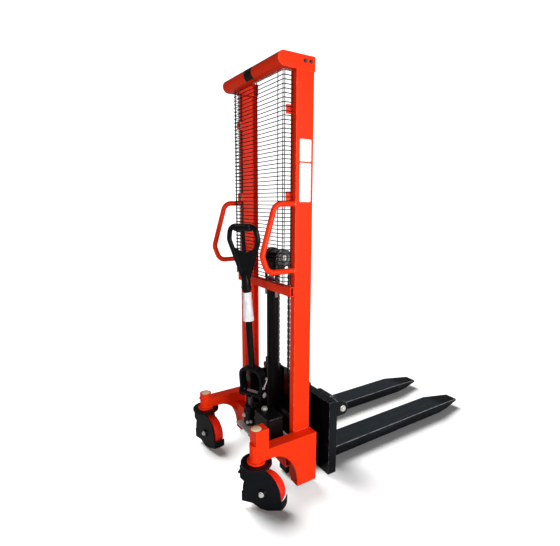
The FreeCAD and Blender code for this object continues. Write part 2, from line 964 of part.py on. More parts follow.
def fork_plan(inset, front):
    half = fork_width / 2 - inset
    tip = fork_tip_width / 2 - inset
    shoulder = fork_front - fork_taper
    return [
        (fork_rear, fork_y - half),
        (shoulder, fork_y - half),
        (front, fork_y - tip),
        (front, fork_y + tip),
        (shoulder, fork_y + half),
        (fork_rear, fork_y + half),
    ]


def fork_side(top_inset, front_inset, bottom, nose_bottom):
    # The blade seen from the side: flat, then falling to a thin nose.
    shoulder = fork_front - fork_taper
    tip = fork_front - front_inset
    tip_top = fork_top - fork_tip_drop - top_inset
    return [
        (fork_rear, bottom),
        (fork_front - fork_nose_length, bottom),
        (tip, nose_bottom),
        (tip, tip_top),
        (shoulder, fork_top - top_inset),
        (fork_rear, fork_top - top_inset),
    ]


def fork():
    reach = fork_width
    tip_low = fork_top - fork_tip_drop - fork_nose_height
    outer = sheet(fork_plan(0, fork_front), 0, fork_top)
    outer = outer.common(slab(fork_side(0, 0, fork_skirt, tip_low), fork_y - reach, fork_y + reach))
    inner = sheet(fork_plan(fork_side_wall, fork_front), 0, fork_top)
    low = fork_skirt - overrun
    profile = fork_side(fork_plate, fork_side_wall, low, low)
    inner = inner.common(slab(profile, fork_y - reach, fork_y + reach))
    blade = outer.cut(inner)
    half = shank_width / 2
    shank = block(
        (fork_rear, fork_y - half, fork_top - fork_plate),
        (fork_rear + shank_depth, fork_y + half, shaft_z),
    )
    eye = cross_bar(fork_eye, shaft_x, shaft_z, fork_y - half, fork_y + half)
    bore = cross_bar(
        shaft_diameter + 2 * running_gap,
        shaft_x,
        shaft_z,
        fork_y - half - overrun,
        fork_y + half + overrun,
    )
    return blade.fuse([shank, eye]).cut(bore).removeSplitter()


# Casters, built about the swivel axis and then turned to their heading


def caster_yoke():
    stem = upright(stem_diameter, 0, 0, crown_low, crown_high + stem_length)
    crown = upright(crown_diameter, 0, 0, crown_low, crown_high)
    half = yoke_leg_top / 2
    outline = [
        (-half, crown_low),
        (half, crown_low),
        (caster_trail + yoke_leg_end, wheel_radius),
        (caster_trail + yoke_leg_end / 2, wheel_radius - yoke_leg_end),
        (caster_trail - yoke_leg_end / 2, wheel_radius - yoke_leg_end),
        (caster_trail - yoke_leg_end, wheel_radius),
    ]
    leg_plate = slab(outline, yoke_leg_inner, yoke_leg_outer)
    end = guard_side + caster_axle_end
    axle = cross_bar(caster_axle_diameter, caster_trail, wheel_radius, -end, end)
    return crown.fuse([stem, leg_plate, mirrored(leg_plate), axle]).removeSplitter()


def caster_tyre():
    half = wheel_width / 2
    bore = wheel_diameter - 2 * tread_depth
    tyre = cross_bar(wheel_diameter, caster_trail, wheel_radius, -half, half)
    edges = [e for e in tyre.Edges if abs(e.Length - math.pi * wheel_diameter) < moving_gap]
    tyre = tyre.makeFillet(tread_depth / 2, edges)
    return tyre.cut(cross_bar(bore, caster_trail, wheel_radius, -half - overrun, half + overrun))


def caster_hub():
    half = wheel_width / 2
    rim_diameter = wheel_diameter - 2 * tread_depth
    rim = cross_bar(rim_diameter, caster_trail, wheel_radius, -half, half)
    dish = cross_bar(rim_diameter - tread_depth, caster_trail, wheel_radius, hub_web / 2, half + overrun)
    end = half + hub_overhang
    solid = rim.cut(dish).cut(mirrored(dish))
    solid = solid.fuse(cross_bar(hub_diameter, caster_trail, wheel_radius, -end, end))
    bore = caster_axle_diameter + 2 * running_gap
    hole = cross_bar(bore, caster_trail, wheel_radius, -end - overrun, end + overrun)
    return solid.cut(hole).removeSplitter()


def caster_guard():
    # A side plate against the right leg, a toe band round the front and a hood behind.
    outline = [
        (caster_trail + x * wheel_radius, wheel_radius + z * wheel_radius)
        for x, z in guard_outline_shares
    ]
    plate = slab(outline, -guard_side, -yoke_leg_outer)
    hole = caster_axle_diameter + 2 * moving_gap
    plate = plate.cut(
        cross_bar(hole, caster_trail, wheel_radius, -guard_side - overrun, overrun - yoke_leg_outer)
    )
    inner_side = wheel_width / 2
    reach = guard_outer + overrun
    rim = cross_bar(2 * guard_outer, caster_trail, wheel_radius, -guard_side, inner_side)
    hollow = cross_bar(
        2 * guard_inner, caster_trail, wheel_radius, -guard_side - overrun, inner_side + overrun
    )
    behind = block(
        (caster_trail - reach, -guard_side, wheel_radius + hood_bottom_share * wheel_radius),
        (caster_trail + hood_front_share * wheel_radius, inner_side, wheel_radius + reach),
    )
    hood = rim.cut(hollow).common(behind)
    toe_low = wheel_radius + toe_bottom_share * wheel_radius
    toe_high = wheel_radius + toe_top_share * wheel_radius
    toe_radius = wheel_radius + toe_gap
    band = upright(2 * (toe_radius + guard_wall), caster_trail, 0, toe_low, toe_high)
    band = band.cut(upright(2 * toe_radius, caster_trail, 0, toe_low - overrun, toe_high + overrun))
    ahead = block(
        (caster_trail, -guard_side, toe_low), (caster_trail + reach + toe_gap, inner_side, toe_high)
    )
    return plate.fuse([hood, band.common(ahead)]).removeSplitter()


def brake_pedal():
    # A lever behind the yoke that hangs on a pin between its legs.
    half = brake_width / 2
    tail = brake_pivot_x - brake_length
    outline = [
        (brake_pivot_x, brake_pivot_z + brake_wall / 2),
        (brake_pivot_x, brake_pivot_z - brake_wall / 2),
        (tail + brake_pad, brake_pivot_z - brake_drop - brake_wall / 2),
        (tail, brake_pivot_z - brake_drop - brake_wall / 2),
        (tail, brake_pivot_z - brake_drop + brake_wall / 2),
        (tail + brake_pad, brake_pivot_z - brake_drop + brake_wall / 2),
    ]
    lever = slab(outline, -half, half)
    knuckle = cross_bar(2 * brake_pin_diameter, brake_pivot_x, brake_pivot_z, -half, half)
    hole = brake_pin_diameter + 2 * running_gap
    return lever.fuse(knuckle).cut(
        cross_bar(hole, brake_pivot_x, brake_pivot_z, -half - overrun, half + overrun)
    ).removeSplitter()


def brake_bracket():
    # Two ears under the crown that hold the brake pedal's pin.
    half = brake_width / 2 + moving_gap
    outline = [
        (brake_pivot_x - brake_pin_diameter, crown_low),
        (brake_pivot_x - brake_pin_diameter, brake_pivot_z - brake_pin_diameter),
        (brake_pivot_x + brake_pin_diameter, brake_pivot_z - brake_pin_diameter),
        (brake_pivot_x + brake_pin_diameter, crown_low),
    ]
    ear = slab(outline, half, half + yoke_leg_wall)
    pin = cross_bar(brake_pin_diameter, brake_pivot_x, brake_pivot_z, -half, half)
    return pin.fuse([ear, mirrored(ear)])


def placed_caster(shape, heading, side):
    shape = shape.copy()
    shape.rotate(V(0, 0, 0), UP, heading)
    shape.translate(V(caster_x, side * caster_y, 0))
    return shape


# Pump group


def pump_plate():
    return block(
        (pump_plate_rear, pump_plate_right, cross_beam_top),
        (0, pump_plate_left, pump_floor),
    )


def pump_body():
    low = pump_floor
    half = pump_length / 2
    solid = rounded_block(
        (pump_x - half, -pump_width / 2, low), (pump_x + half, pump_width / 2, pump_top), pump_corner
    )
    bore = plunger_diameter + 2 * running_gap
    return solid.cut(upright(bore, pump_x, 0, low + pump_bottom_wall, pump_top + overrun))


def oil_tank():
    return rounded_block(
        (tank_rear, tank_right, pump_floor), (tank_front, tank_left, tank_top), tank_corner
    )


def hydraulic_pipe():
    start = V(pump_x + pump_length / 2, 0, pipe_height)
    reach = cylinder_x - start.x
    pipe = bar(pipe_diameter, start, ALONG_X, reach)
    return pipe.cut(upright(cylinder_diameter, cylinder_x, 0, foot_plate_top, cylinder_top))


# Tiller, built about its swivel axis with the pivot ahead of it, then turned


def tiller_head():
    # A turning ring on the pump with two cheeks that hold the pivot pin.
    high = pump_top + head_height
    ring = upright(head_diameter, 0, 0, pump_top, high)
    front = pivot_forward + pivot_boss_diameter / 2
    outline = [
        (pivot_forward, pump_top),
        (front, pump_top),
        (front, pivot_z),
        (pivot_forward, pivot_z),
    ]
    outer = head_cheek_inner + head_cheek_wall
    cheek = slab(outline, 0, outer)
    boss = cross_bar(pivot_boss_diameter, pivot_forward, pivot_z, 0, outer)
    cheek = cheek.fuse(boss)
    gap = block(
        (-head_diameter, -overrun, high),
        (head_diameter, head_cheek_inner, pivot_z + head_diameter),
    )
    cheek = cheek.cut(gap)
    solid = ring.fuse([cheek, mirrored(cheek)])
    bore = plunger_diameter + 2 * moving_gap
    solid = solid.cut(upright(bore, 0, 0, pump_top - overrun, pivot_z + overrun))
    hole = pivot_pin_diameter + 2 * running_gap
    pin_hole = cross_bar(hole, pivot_forward, pivot_z, -outer - overrun, outer + overrun)
    return solid.cut(pin_hole).removeSplitter()


def pivot_pin():
    end = ear_inner + ear_wall
    return cross_bar(pivot_pin_diameter, pivot_forward, pivot_z, -end, end)


def tiller_yoke():
    # An arch with two ears over the pump, and the cam bar that pushes the plunger.
    half = ear_width / 2
    low = pivot_z + crown_bottom
    high = low + crown_wall
    outer = ear_inner + ear_wall
    crown = arched_block(
        (pivot_forward - half, -outer, pivot_z), (pivot_forward + half, outer, high), crown_bend
    )
    opening = arched_block(
        (pivot_forward - ear_width, -ear_inner, pivot_z - overrun),
        (pivot_forward + ear_width, ear_inner, low),
        crown_bend - ear_wall,
    )
    crown = crown.cut(opening)
    foot = cross_bar(ear_foot, pivot_forward, pivot_z, ear_inner, outer)
    cam = cross_bar(cam_diameter, 0, pivot_z, -ear_inner, ear_inner)
    cam_arm = block(
        (-cam_diameter / 2, ear_inner, pivot_z - cam_diameter / 2),
        (pivot_forward, outer, pivot_z + cam_diameter / 2),
    )
    solid = crown.fuse([foot, mirrored(foot), cam, cam_arm, mirrored(cam_arm)])
    hole = pivot_pin_diameter + 2 * running_gap
    return solid.cut(
        cross_bar(hole, pivot_forward, pivot_z, -outer - overrun, outer + overrun)
    ).removeSplitter()


def tiller_tube():
    low = pivot_z + crown_bottom + crown_wall
    high = pivot_z + tube_top
    bore = tube_diameter - 2 * tube_wall
    tube = upright(tube_diameter, pivot_forward, 0, low, high)
    return tube.cut(upright(bore, pivot_forward, 0, low - overrun, high + overrun))


def tiller_loop():
    # Neck, a rounded three-cornered loop and a web between its lower arms.
    low = pivot_z + tube_top
    high = pivot_z + neck_top
    middle = loop_tube / 2
    shoulder = loop_width / 2 - middle
    top_half = loop_top_width / 2
    outline = [
        (middle, neck_top - middle),
        (shoulder, loop_shoulder),
        (top_half, loop_top - middle),
        (-top_half, loop_top - middle),
        (-shoulder, loop_shoulder),
        (-middle, neck_top - middle),
    ]
    points = [V(pivot_forward, y, pivot_z + z) for y, z in outline]
    loop = bent_tube(points, loop_bend, loop_tube)
    neck = upright(neck_diameter, pivot_forward, 0, low, high)
    half_wall = web_wall / 2
    web_points = [
        (middle, neck_top - middle),
        (web_width / 2, web_top),
        (-web_width / 2, web_top),
        (-middle, neck_top - middle),
    ]
    corners = [V(pivot_forward - half_wall, y, pivot_z + z) for y, z in web_points]
    web = Part.Face(Part.makePolygon(corners + corners[:1])).extrude(V(web_wall, 0, 0))
    solid = neck.fuse([loop, web])
    slot = block(
        (
            pivot_forward - neck_diameter,
            -lever_wall / 2 - moving_gap,
            pivot_z + lever_pivot - lever_width / 2 - moving_gap,
        ),
        (pivot_forward + neck_diameter, lever_wall / 2 + moving_gap, pivot_z + web_top + overrun),
    )
    pin_end = lever_wall / 2 + moving_gap
    pin = cross_bar(lever_pin, pivot_forward, pivot_z + lever_pivot, -pin_end, pin_end)
    return solid.cut(slot).fuse(pin).removeSplitter()


def control_lever():
    half = lever_wall / 2
    radius = lever_width / 2
    knuckle = cross_bar(lever_width, pivot_forward, pivot_z + lever_pivot, -half, half)
    blade = block(
        (pivot_forward - radius, -half, pivot_z + lever_pivot),
        (pivot_forward + radius, half, pivot_z + lever_top),
    )
    hole = lever_pin + 2 * running_gap
    return knuckle.fuse(blade).cut(
        cross_bar(hole, pivot_forward, pivot_z + lever_pivot, -half - overrun, half + overrun)
    ).removeSplitter()


def pump_plunger():
    # Its top is just under the cam bar, which the tiller's lean brings down a little.
    cam_drop = pivot_forward * math.sin(math.radians(tiller_lean))
    high = pivot_z - cam_drop - cam_diameter / 2 - moving_gap
    return upright(plunger_diameter, pump_x, 0, plunger_low, high)


def turned_tiller(shape):
    shape = shape.copy()
    shape.rotate(V(0, 0, 0), UP, tiller_turn)
    shape.translate(V(pump_x, 0, 0))
    return shape


def leaning_tiller(shape):
    shape = shape.copy()
    shape.rotate(V(pivot_forward, 0, pivot_z), ALONG_Y, -tiller_lean)
    return turned_tiller(shape)


def all_pieces():
    pieces = {
        "mast_post_left": mast_post(),
        "mast_post_right": mirrored(mast_post()),
        "top_beam": top_beam(),
        "top_end_plates": top_end_plates(),
        "frame_bolts": frame_bolts(),
        "mid_beam": mid_beam(),
        "chain_anchor_bolts": chain_anchor_bolts(),
        "mesh_guard": mesh_guard(),
        "grab_handle_left": grab_handle(),
        "grab_handle_right": mirrored(grab_handle()),
        "base_arm_left": base_arm_left(),
        "base_arm_right": base_arm_right(),
        "caster_caps": caster_caps(),
        "base_cross_beam": cross_beam(),
        "leg_left": leg(),
        "leg_right": mirrored(leg()),
        "leg_axles": leg_axles(),
        "leg_roller_left": leg_roller(),
        "leg_roller_right": mirrored(leg_roller()),
        "mast_foot_plate": mast_foot_plate(),
        "cylinder_barrel": cylinder_barrel(),
        "cylinder_gland": cylinder_gland(),
        "piston_rod": piston_rod(),
        "sheave_yoke": sheave_yoke(),
        "sheave_axle": sheave_axle(),
        "sheave_left": sheave(),
        "sheave_right": mirrored(sheave()),
        "chain_rear_runs": chain_rear_runs(),
        "chain_wraps": chain_wraps(),
        "chain_front_runs": chain_front_runs(),
        "carriage_plate": carriage_plate(),
        "carriage_frame": carriage_frame(),
        "fork_shaft": fork_shaft(),
        "fork_left": fork(),
        "fork_right": mirrored(fork()),
        "pump_plate": pump_plate(),
        "pump_body": pump_body(),
        "oil_tank": oil_tank(),
        "hydraulic_pipe": hydraulic_pipe(),
        "pump_plunger": pump_plunger(),
        "tiller_head": turned_tiller(tiller_head()),
        "pivot_pin": turned_tiller(pivot_pin()),
        "tiller_yoke": leaning_tiller(tiller_yoke()),
        "tiller_tube": leaning_tiller(tiller_tube()),
        "tiller_loop": leaning_tiller(tiller_loop()),
        "control_lever": leaning_tiller(control_lever()),
    }
    for name, z in (("low", roller_low), ("high", roller_high)):
        pieces["carriage_roller_" + name + "_left"] = carriage_roller(z)
        pieces["carriage_roller_" + name + "_right"] = mirrored(carriage_roller(z))
    yoke = caster_yoke().fuse(brake_bracket()).removeSplitter()
    for name, heading, side in (
        ("left", caster_heading_left, 1),
        ("right", caster_heading_right, -1),
    ):
        pieces["caster_yoke_" + name] = placed_caster(yoke, heading, side)
        pieces["caster_guard_" + name] = placed_caster(caster_guard(), heading, side)
        pieces["caster_tyre_" + name] = placed_caster(caster_tyre(), heading, side)
        pieces["caster_hub_" + name] = placed_caster(caster_hub(), heading, side)
        pieces["brake_pedal_" + name] = placed_caster(brake_pedal(), heading, side)
    return pieces


def origin_shift(pieces):
    # From the working frame to an origin on the floor under the middle of the machine.
    whole = FreeCAD.BoundBox()
    for shape in pieces.values():
        whole.add(shape.optimalBoundingBox(False, False))
    return V(-(whole.XMin + whole.XMax) / 2, -(whole.YMin + whole.YMax) / 2, 0)


def main():
    os.makedirs("parts", exist_ok=True)
    pieces = all_pieces()
    shift = origin_shift(pieces)
    print("shift of the origin", [round(value, 3) for value in shift])
    for name, shape in pieces.items():
        shape.translate(shift)
        shape.exportStep("parts/" + name + ".step")
        print(name, len(shape.Solids), shape.isValid(), round(shape.Volume))


if __name__ == "__main__":
    main()
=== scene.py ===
import json
from math import cos, pi, radians, sin, tan

import bmesh
import bpy
from mathutils import Matrix, Vector

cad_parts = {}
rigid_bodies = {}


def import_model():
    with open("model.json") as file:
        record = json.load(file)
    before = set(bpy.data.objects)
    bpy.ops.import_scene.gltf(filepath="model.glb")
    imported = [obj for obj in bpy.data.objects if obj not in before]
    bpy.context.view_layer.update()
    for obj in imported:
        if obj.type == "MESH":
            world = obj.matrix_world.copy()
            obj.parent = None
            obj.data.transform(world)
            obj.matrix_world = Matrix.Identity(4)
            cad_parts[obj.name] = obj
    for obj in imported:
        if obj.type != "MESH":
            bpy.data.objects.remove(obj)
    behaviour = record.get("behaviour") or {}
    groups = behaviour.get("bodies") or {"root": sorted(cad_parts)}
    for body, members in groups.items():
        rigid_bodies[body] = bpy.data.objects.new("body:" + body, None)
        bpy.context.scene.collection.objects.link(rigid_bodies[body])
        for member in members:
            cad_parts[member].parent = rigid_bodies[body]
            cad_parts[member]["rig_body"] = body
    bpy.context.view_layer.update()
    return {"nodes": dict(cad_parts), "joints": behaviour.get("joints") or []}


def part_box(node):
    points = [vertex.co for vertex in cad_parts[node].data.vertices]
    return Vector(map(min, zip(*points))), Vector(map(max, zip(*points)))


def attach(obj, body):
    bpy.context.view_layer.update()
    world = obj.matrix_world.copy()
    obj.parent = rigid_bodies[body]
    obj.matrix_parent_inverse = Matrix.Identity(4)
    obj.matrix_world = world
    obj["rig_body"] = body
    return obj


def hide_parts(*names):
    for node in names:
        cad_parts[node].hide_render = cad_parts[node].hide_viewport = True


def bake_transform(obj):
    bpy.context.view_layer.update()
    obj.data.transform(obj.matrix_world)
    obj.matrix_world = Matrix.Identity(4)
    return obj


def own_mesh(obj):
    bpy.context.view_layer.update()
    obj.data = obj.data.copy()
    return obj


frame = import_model()
joints = {joint["name"]: joint for joint in frame["joints"]}

# Everything is drawn in millimetres from the mast's foot: x forward, y left, z up
beamLow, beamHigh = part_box("base_cross_beam")
mastSpot = Vector((beamHigh.x, (beamLow.y + beamHigh.y) / 2, 0))
toRow = Matrix.Translation(mastSpot) @ Matrix.Scale(0.001, 4)
toMast = toRow.inverted()
sides = (("left", 1), ("right", -1))
upright = ((0, 0, 0), (0, 0, 1))


def span(node):
    low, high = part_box(node)
    return toMast @ low, toMast @ high


def localFrame(spot, across):
    # a frame that stands at a spot on the floor, with its y along the given axis
    across = Vector(across)
    ahead = across.cross(Vector((0, 0, 1)))
    turn = Matrix((ahead, across, (0, 0, 1))).transposed().to_4x4()
    return Matrix.Translation((spot[0], spot[1], 0)) @ turn @ Matrix.Scale(0.001, 4)


casterFrame = {
    side: localFrame(joints[f"caster_{side}_swivel"]["pos_m"], joints[f"wheel_{side}_spin"]["axis"])
    for side, sign in sides
}
tillerBase = localFrame(joints["tiller_swivel"]["pos_m"], -Vector(joints["tiller_pump"]["axis"]))
pivotSpot = tillerBase.inverted() @ Vector(joints["tiller_pump"]["pos_m"])
tillerLean = 5.0
leaning = Matrix.Translation(pivotSpot) @ Matrix.Rotation(radians(-tillerLean), 4, "Y")
tillerFrame = tillerBase @ leaning
print("frame loaded, mast foot at", tuple(round(v, 4) for v in mastSpot))


# Shader sockets that take part in Python sums
class Sock:
    def __init__(self, finish, socket):
        self.finish = finish
        self.socket = socket

    def maths(self, operation, a, b):
        return self.finish.node("ShaderNodeMath", {"operation": operation}, {0: a, 1: b})

    def __add__(self, other):
        return self.maths("ADD", self, other)

    def __rsub__(self, other):
        return self.maths("SUBTRACT", other, self)

    def __mul__(self, other):
        return self.maths("MULTIPLY", self, other)


class Finish:
    def __init__(self, name, slot):
        self.slot = slot
        self.material = bpy.data.materials.new(name)
        self.material.use_nodes = True
        self.tree = self.material.node_tree
        self.shader = self.tree.nodes["Principled BSDF"]
        self.place = self.node("ShaderNodeTexCoord", {}, {}, "Object")

    def node(self, kind, settings, values, output=0):
        made = self.tree.nodes.new(kind)
        for key, value in settings.items():
            if key == "stops":
                ramp = made.color_ramp
                ramp.elements[0].position, ramp.elements[1].position = value
            else:
                setattr(made, key, value)
        for key, value in values.items():
            if isinstance(value, Sock):
                self.tree.links.new(value.socket, made.inputs[key])
            else:
                made.inputs[key].default_value = value
        return Sock(self, made.outputs[output])

    def noise(self, scale, detail=3.0, stretch=(1, 1, 1), distortion=0.0):
        place = self.place
        if stretch != (1, 1, 1):
            place = self.node("ShaderNodeMapping", {}, {"Vector": place, "Scale": stretch})
        values = {"Vector": place, "Scale": scale, "Detail": detail, "Distortion": distortion}
        return self.node("ShaderNodeTexNoise", {}, values, "Fac")

    def cells(self, scale):
        values = {"Vector": self.place, "Scale": scale}
        return self.node("ShaderNodeTexVoronoi", {}, values, "Distance")

    def step(self, value, low, high):
        # 0 below low, 1 above high
        return self.node("ShaderNodeValToRGB", {"stops": (low, high)}, {"Fac": value})

    def mix(self, factor, a, b):
        values = {0: factor, 6: a if isinstance(a, Sock) else (*a, 1), 7: (*b, 1)}
        settings = {"data_type": "RGBA", "clamp_factor": True}
        return self.node("ShaderNodeMix", settings, values, 2)

    def wearAndHighlight(self):
        # 1 on the rounded edges of a piece, 0 on its flats: where paint shows wear and a painted
        # highlight, and plastic its scuffs
        return self.node("ShaderNodeAttribute", {"attribute_name": "edgeWear"}, {}, "Fac")

    def height(self):
        return self.node("ShaderNodeSeparateXYZ", {}, {"Vector": self.place}, "Z")

    def put(self, **values):
        for key, value in values.items():
            socket = self.shader.inputs[key.replace("_", " ")]
            if isinstance(value, Sock):
                self.tree.links.new(value.socket, socket)
            else:
                socket.default_value = (*value, 1) if isinstance(value, tuple) else value

    def bump(self, height, strength, distance):
        values = {"Height": height, "Strength": strength, "Distance": distance}
        self.put(Normal=self.node("ShaderNodeBump", {}, values))


def paintFinish(name, slot, look):
    # gloss paint: cloudy colour, orange peel, lighter edges that are partly worn and partly a painted
    # highlight, a painted lighter top face where the look gives one, and dust near the floor
    paint = Finish(name, slot)
    cloud = paint.noise(look["cloudScale"], 4)
    colour = paint.mix(cloud * look["cloud"], look["colour"], look["shade"])
    # painted light: faces above the given height, the top face, take a lighter colour than the sides
    if "paintedLitTop" in look:
        colour = paint.mix(paint.step(paint.height(), *look["paintedLitTopRise"]), colour, look["paintedLitTop"])
    speckle = paint.step(paint.noise(look["chipScale"], 5), *look.get("chips", (0.42, 0.62)))
    # lighter rounded edges: part worn paint, part painted highlight
    colour = paint.mix(paint.wearAndHighlight() * speckle * look["wearAndHighlight"], colour, look["edge"])
    dust = paint.step(paint.noise(16, 5), 0.35, 0.75) * (1 - paint.step(paint.height(), 0.02, 0.3))
    colour = paint.mix(dust * look["dust"], colour, look["dustColour"])
    rough = cloud * 0.12 + look["rough"]
    if "scratch" in look:
        lines = paint.step(paint.noise(14, 6, look["scratchStretch"]), 0.6, 0.68)
        rubbed = paint.step(paint.noise(5, 3), 0.4, 0.7)
        colour = paint.mix(lines * rubbed * look["scratch"], colour, look["edge"])
        rough = rough + lines * rubbed * 0.2
    paint.put(Base_Color=colour, Roughness=rough + dust * look["dust"])
    paint.put(Coat_Weight=look["coat"], Coat_Roughness=0.08, Specular_IOR_Level=look["shine"])
    paint.bump(paint.noise(420, 2), look["peel"], 0.0004)
    return paint


framePaint = paintFinish(
    "framePaint",
    "frame_paint",
    {
        "colour": (0.84, 0.047, 0.007),
        "shade": (0.70, 0.024, 0.004),
        # the edge colour is a painted highlight along the rounded edges, with some wear
        "edge": (1.0, 0.17, 0.06),
        "dustColour": (0.42, 0.08, 0.04),
        "cloudScale": 5,
        "chipScale": 60,
        "cloud": 0.6,
        "wearAndHighlight": 0.7,
        "dust": 0.2,
        "rough": 0.25,
        "coat": 0.03,
        "shine": 0.16,
        "peel": 0.10,
    },
)
blackPaint = paintFinish(
    "blackPaint",
    "black_paint",
    {
        "colour": (0.0035, 0.004, 0.005),
        "shade": (0.008, 0.009, 0.011),
        "edge": (0.11, 0.115, 0.12),
        "dustColour": (0.035, 0.032, 0.03),
        "cloudScale": 7,
        "chipScale": 80,
        "cloud": 0.8,
        "wearAndHighlight": 0.5,
        "dust": 0.16,
        "rough": 0.24,
        "coat": 0.1,
        "shine": 0.26,
        "peel": 0.08,
    },
)
forkPaint = paintFinish(
    "forkPaint",
    "black_paint",
    {
        "colour": (0.0030, 0.0035, 0.0042),
        "shade": (0.006, 0.007, 0.009),
        # painted light: the fork's top face is painted lighter than its sides
        "paintedLitTop": (0.029, 0.038, 0.046),
        "paintedLitTopRise": (0.076, 0.0815),
        # the edge colour is a painted highlight line along the fork's edges, with some wear
        "edge": (0.30, 0.31, 0.32),
        "dustColour": (0.04, 0.037, 0.034),
        "cloudScale": 6,
        "chipScale": 24,
        "chips": (0.28, 0.52),
        "cloud": 0.9,
        "wearAndHighlight": 0.85,
        "dust": 0.1,
        "rough": 0.28,
        "coat": 0.08,
        "shine": 0.28,
        "peel": 0.10,
        "scratch": 0.28,
        "scratchStretch": (0.35, 14, 14),
    },
)
carriagePaint = paintFinish(
    "carriagePaint",
    "black_paint",
    {
        "colour": (0.0035, 0.004, 0.005),
        "shade": (0.007, 0.008, 0.010),
        "edge": (0.16, 0.165, 0.17),
        "dustColour": (0.03, 0.027, 0.025),
        "cloudScale": 6,
        "chipScale": 70,
        "cloud": 0.7,
        "wearAndHighlight": 0.7,
        "dust": 0.1,
        "rough": 0.10,
        "coat": 0.25,
        "shine": 0.45,
        "peel": 0.06,
    },
)


def plasticFinish(name, slot, look):
    # moulded plastic: fine grain, faint mottling and scuffed edges
    plastic = Finish(name, slot)
    mottle = plastic.noise(look["mottleScale"], 4)
    colour = plastic.mix(mottle * look["mottle"], look["colour"], look["shade"])
    scuff = plastic.wearAndHighlight() * plastic.step(plastic.noise(70, 4), 0.4, 0.65)
    colour = plastic.mix(scuff * look["scuff"], colour, look["edge"])
    plastic.put(Base_Color=colour, Roughness=mottle * 0.16 + look["rough"])
    plastic.put(Specular_IOR_Level=look.get("shine", 0.35))
    plastic.bump(plastic.noise(look["grainScale"], 2), look["grain"], 0.0005)
    return plastic


blackPlastic = plasticFinish(
    "blackPlastic",
    "black_plastic",
    {
        "colour": (0.004, 0.0045, 0.0055),
        "shade": (0.009, 0.010, 0.012),
        "edge": (0.09, 0.095, 0.10),
        "mottleScale": 9,
        "mottle": 0.9,
        "scuff": 0.45,
        "shine": 0.28,
        "rough": 0.28,
        "grainScale": 650,
        "grain": 0.18,
    },
)
creamPlastic = plasticFinish(
    "creamPlastic",
    "cream_plastic",
    {
        "colour": (0.76, 0.66, 0.46),
        "shade": (0.60, 0.49, 0.31),
        "edge": (0.50, 0.42, 0.30),
        "mottleScale": 40,
        "mottle": 0.7,
        "scuff": 0.5,
        "rough": 0.38,
        "grainScale": 500,
        "grain": 0.08,
    },
)
nylonWhite = plasticFinish(
    "nylonWhite",
    "nylon",
    {
        "colour": (0.72, 0.69, 0.61),
        "shade": (0.55, 0.51, 0.43),
        "edge": (0.35, 0.32, 0.27),
        "mottleScale": 30,
        "mottle": 0.8,
        "scuff": 0.6,
        "rough": 0.40,
        "grainScale": 400,
        "grain": 0.1,
    },
)
wheelTread = plasticFinish(
    "wheelTread",
    "wheel_tread",
    {
        "colour": (0.92, 0.034, 0.008),
        "shade": (0.70, 0.02, 0.006),
        "edge": (0.45, 0.05, 0.025),
        "mottleScale": 28,
        "mottle": 0.8,
        "scuff": 0.5,
        "rough": 0.36,
        "grainScale": 260,
        "grain": 0.14,
    },
)
hubIron = plasticFinish(
    "hubIron",
    "hub_iron",
    {
        "colour": (0.012, 0.012, 0.013),
        "shade": (0.03, 0.03, 0.031),
        "edge": (0.12, 0.12, 0.12),
        "mottleScale": 60,
        "mottle": 0.9,
        "scuff": 0.6,
        "rough": 0.45,
        "grainScale": 180,
        "grain": 0.35,
    },
)
meshPaint = plasticFinish(
    "meshPaint",
    "mesh_paint",
    {
        "colour": (0.006, 0.0065, 0.0075),
        "shade": (0.014, 0.015, 0.017),
        "edge": (0.06, 0.06, 0.06),
        "mottleScale": 50,
        "mottle": 0.9,
        "scuff": 0.3,
        "rough": 0.34,
        "grainScale": 500,
        "grain": 0.1,
    },
)


def metalFinish(name, slot, look):
    # bare metal: lines, drawn along one direction where the look says so, and a cloudy stain
    metal = Finish(name, slot)
    lines = metal.noise(look["lineScale"], 4, look.get("stretch", (1, 1, 1)))
    stain = metal.noise(look["stainScale"], 4, distortion=0.6)
    colour = metal.mix(metal.step(stain, 0.38, 0.72) * look["stain"], look["colour"], look["shade"])
    metal.put(Base_Color=colour, Metallic=look["metal"])
    metal.put(Roughness=lines * look["lines"] + stain * 0.1 + look["rough"])
    metal.bump(lines, look["bump"], 0.0003)
    return metal


bareSteel = metalFinish(
    "bareSteel",
    "bare_steel",
    {
        "colour": (0.62, 0.61, 0.59),
        "shade": (0.36, 0.34, 0.31),
        "stretch": (1, 0.1, 1),
        "lineScale": 240,
        "stainScale": 35,
        "stain": 0.55,
        "lines": 0.2,
        "metal": 0.75,
        "rough": 0.18,
        "bump": 0.08,
    },
)
boltSteel = metalFinish(
    "boltSteel",
    "bare_steel",
    {
        "colour": (0.10, 0.10, 0.105),
        "shade": (0.04, 0.04, 0.042),
        "lineScale": 300,
        "stainScale": 60,
        "stain": 0.6,
        "lines": 0.15,
        "metal": 1.0,
        "rough": 0.24,
        "bump": 0.06,
    },
)
rodChrome = metalFinish(
    "rodChrome",
    "rod_chrome",
    {
        "colour": (0.80, 0.80, 0.80),
        "shade": (0.62, 0.61, 0.59),
        "stretch": (1, 1, 0.06),
        "lineScale": 300,
        "stainScale": 25,
        "stain": 0.4,
        "lines": 0.06,
        "metal": 0.85,
        "rough": 0.05,
        "bump": 0.02,
    },
)
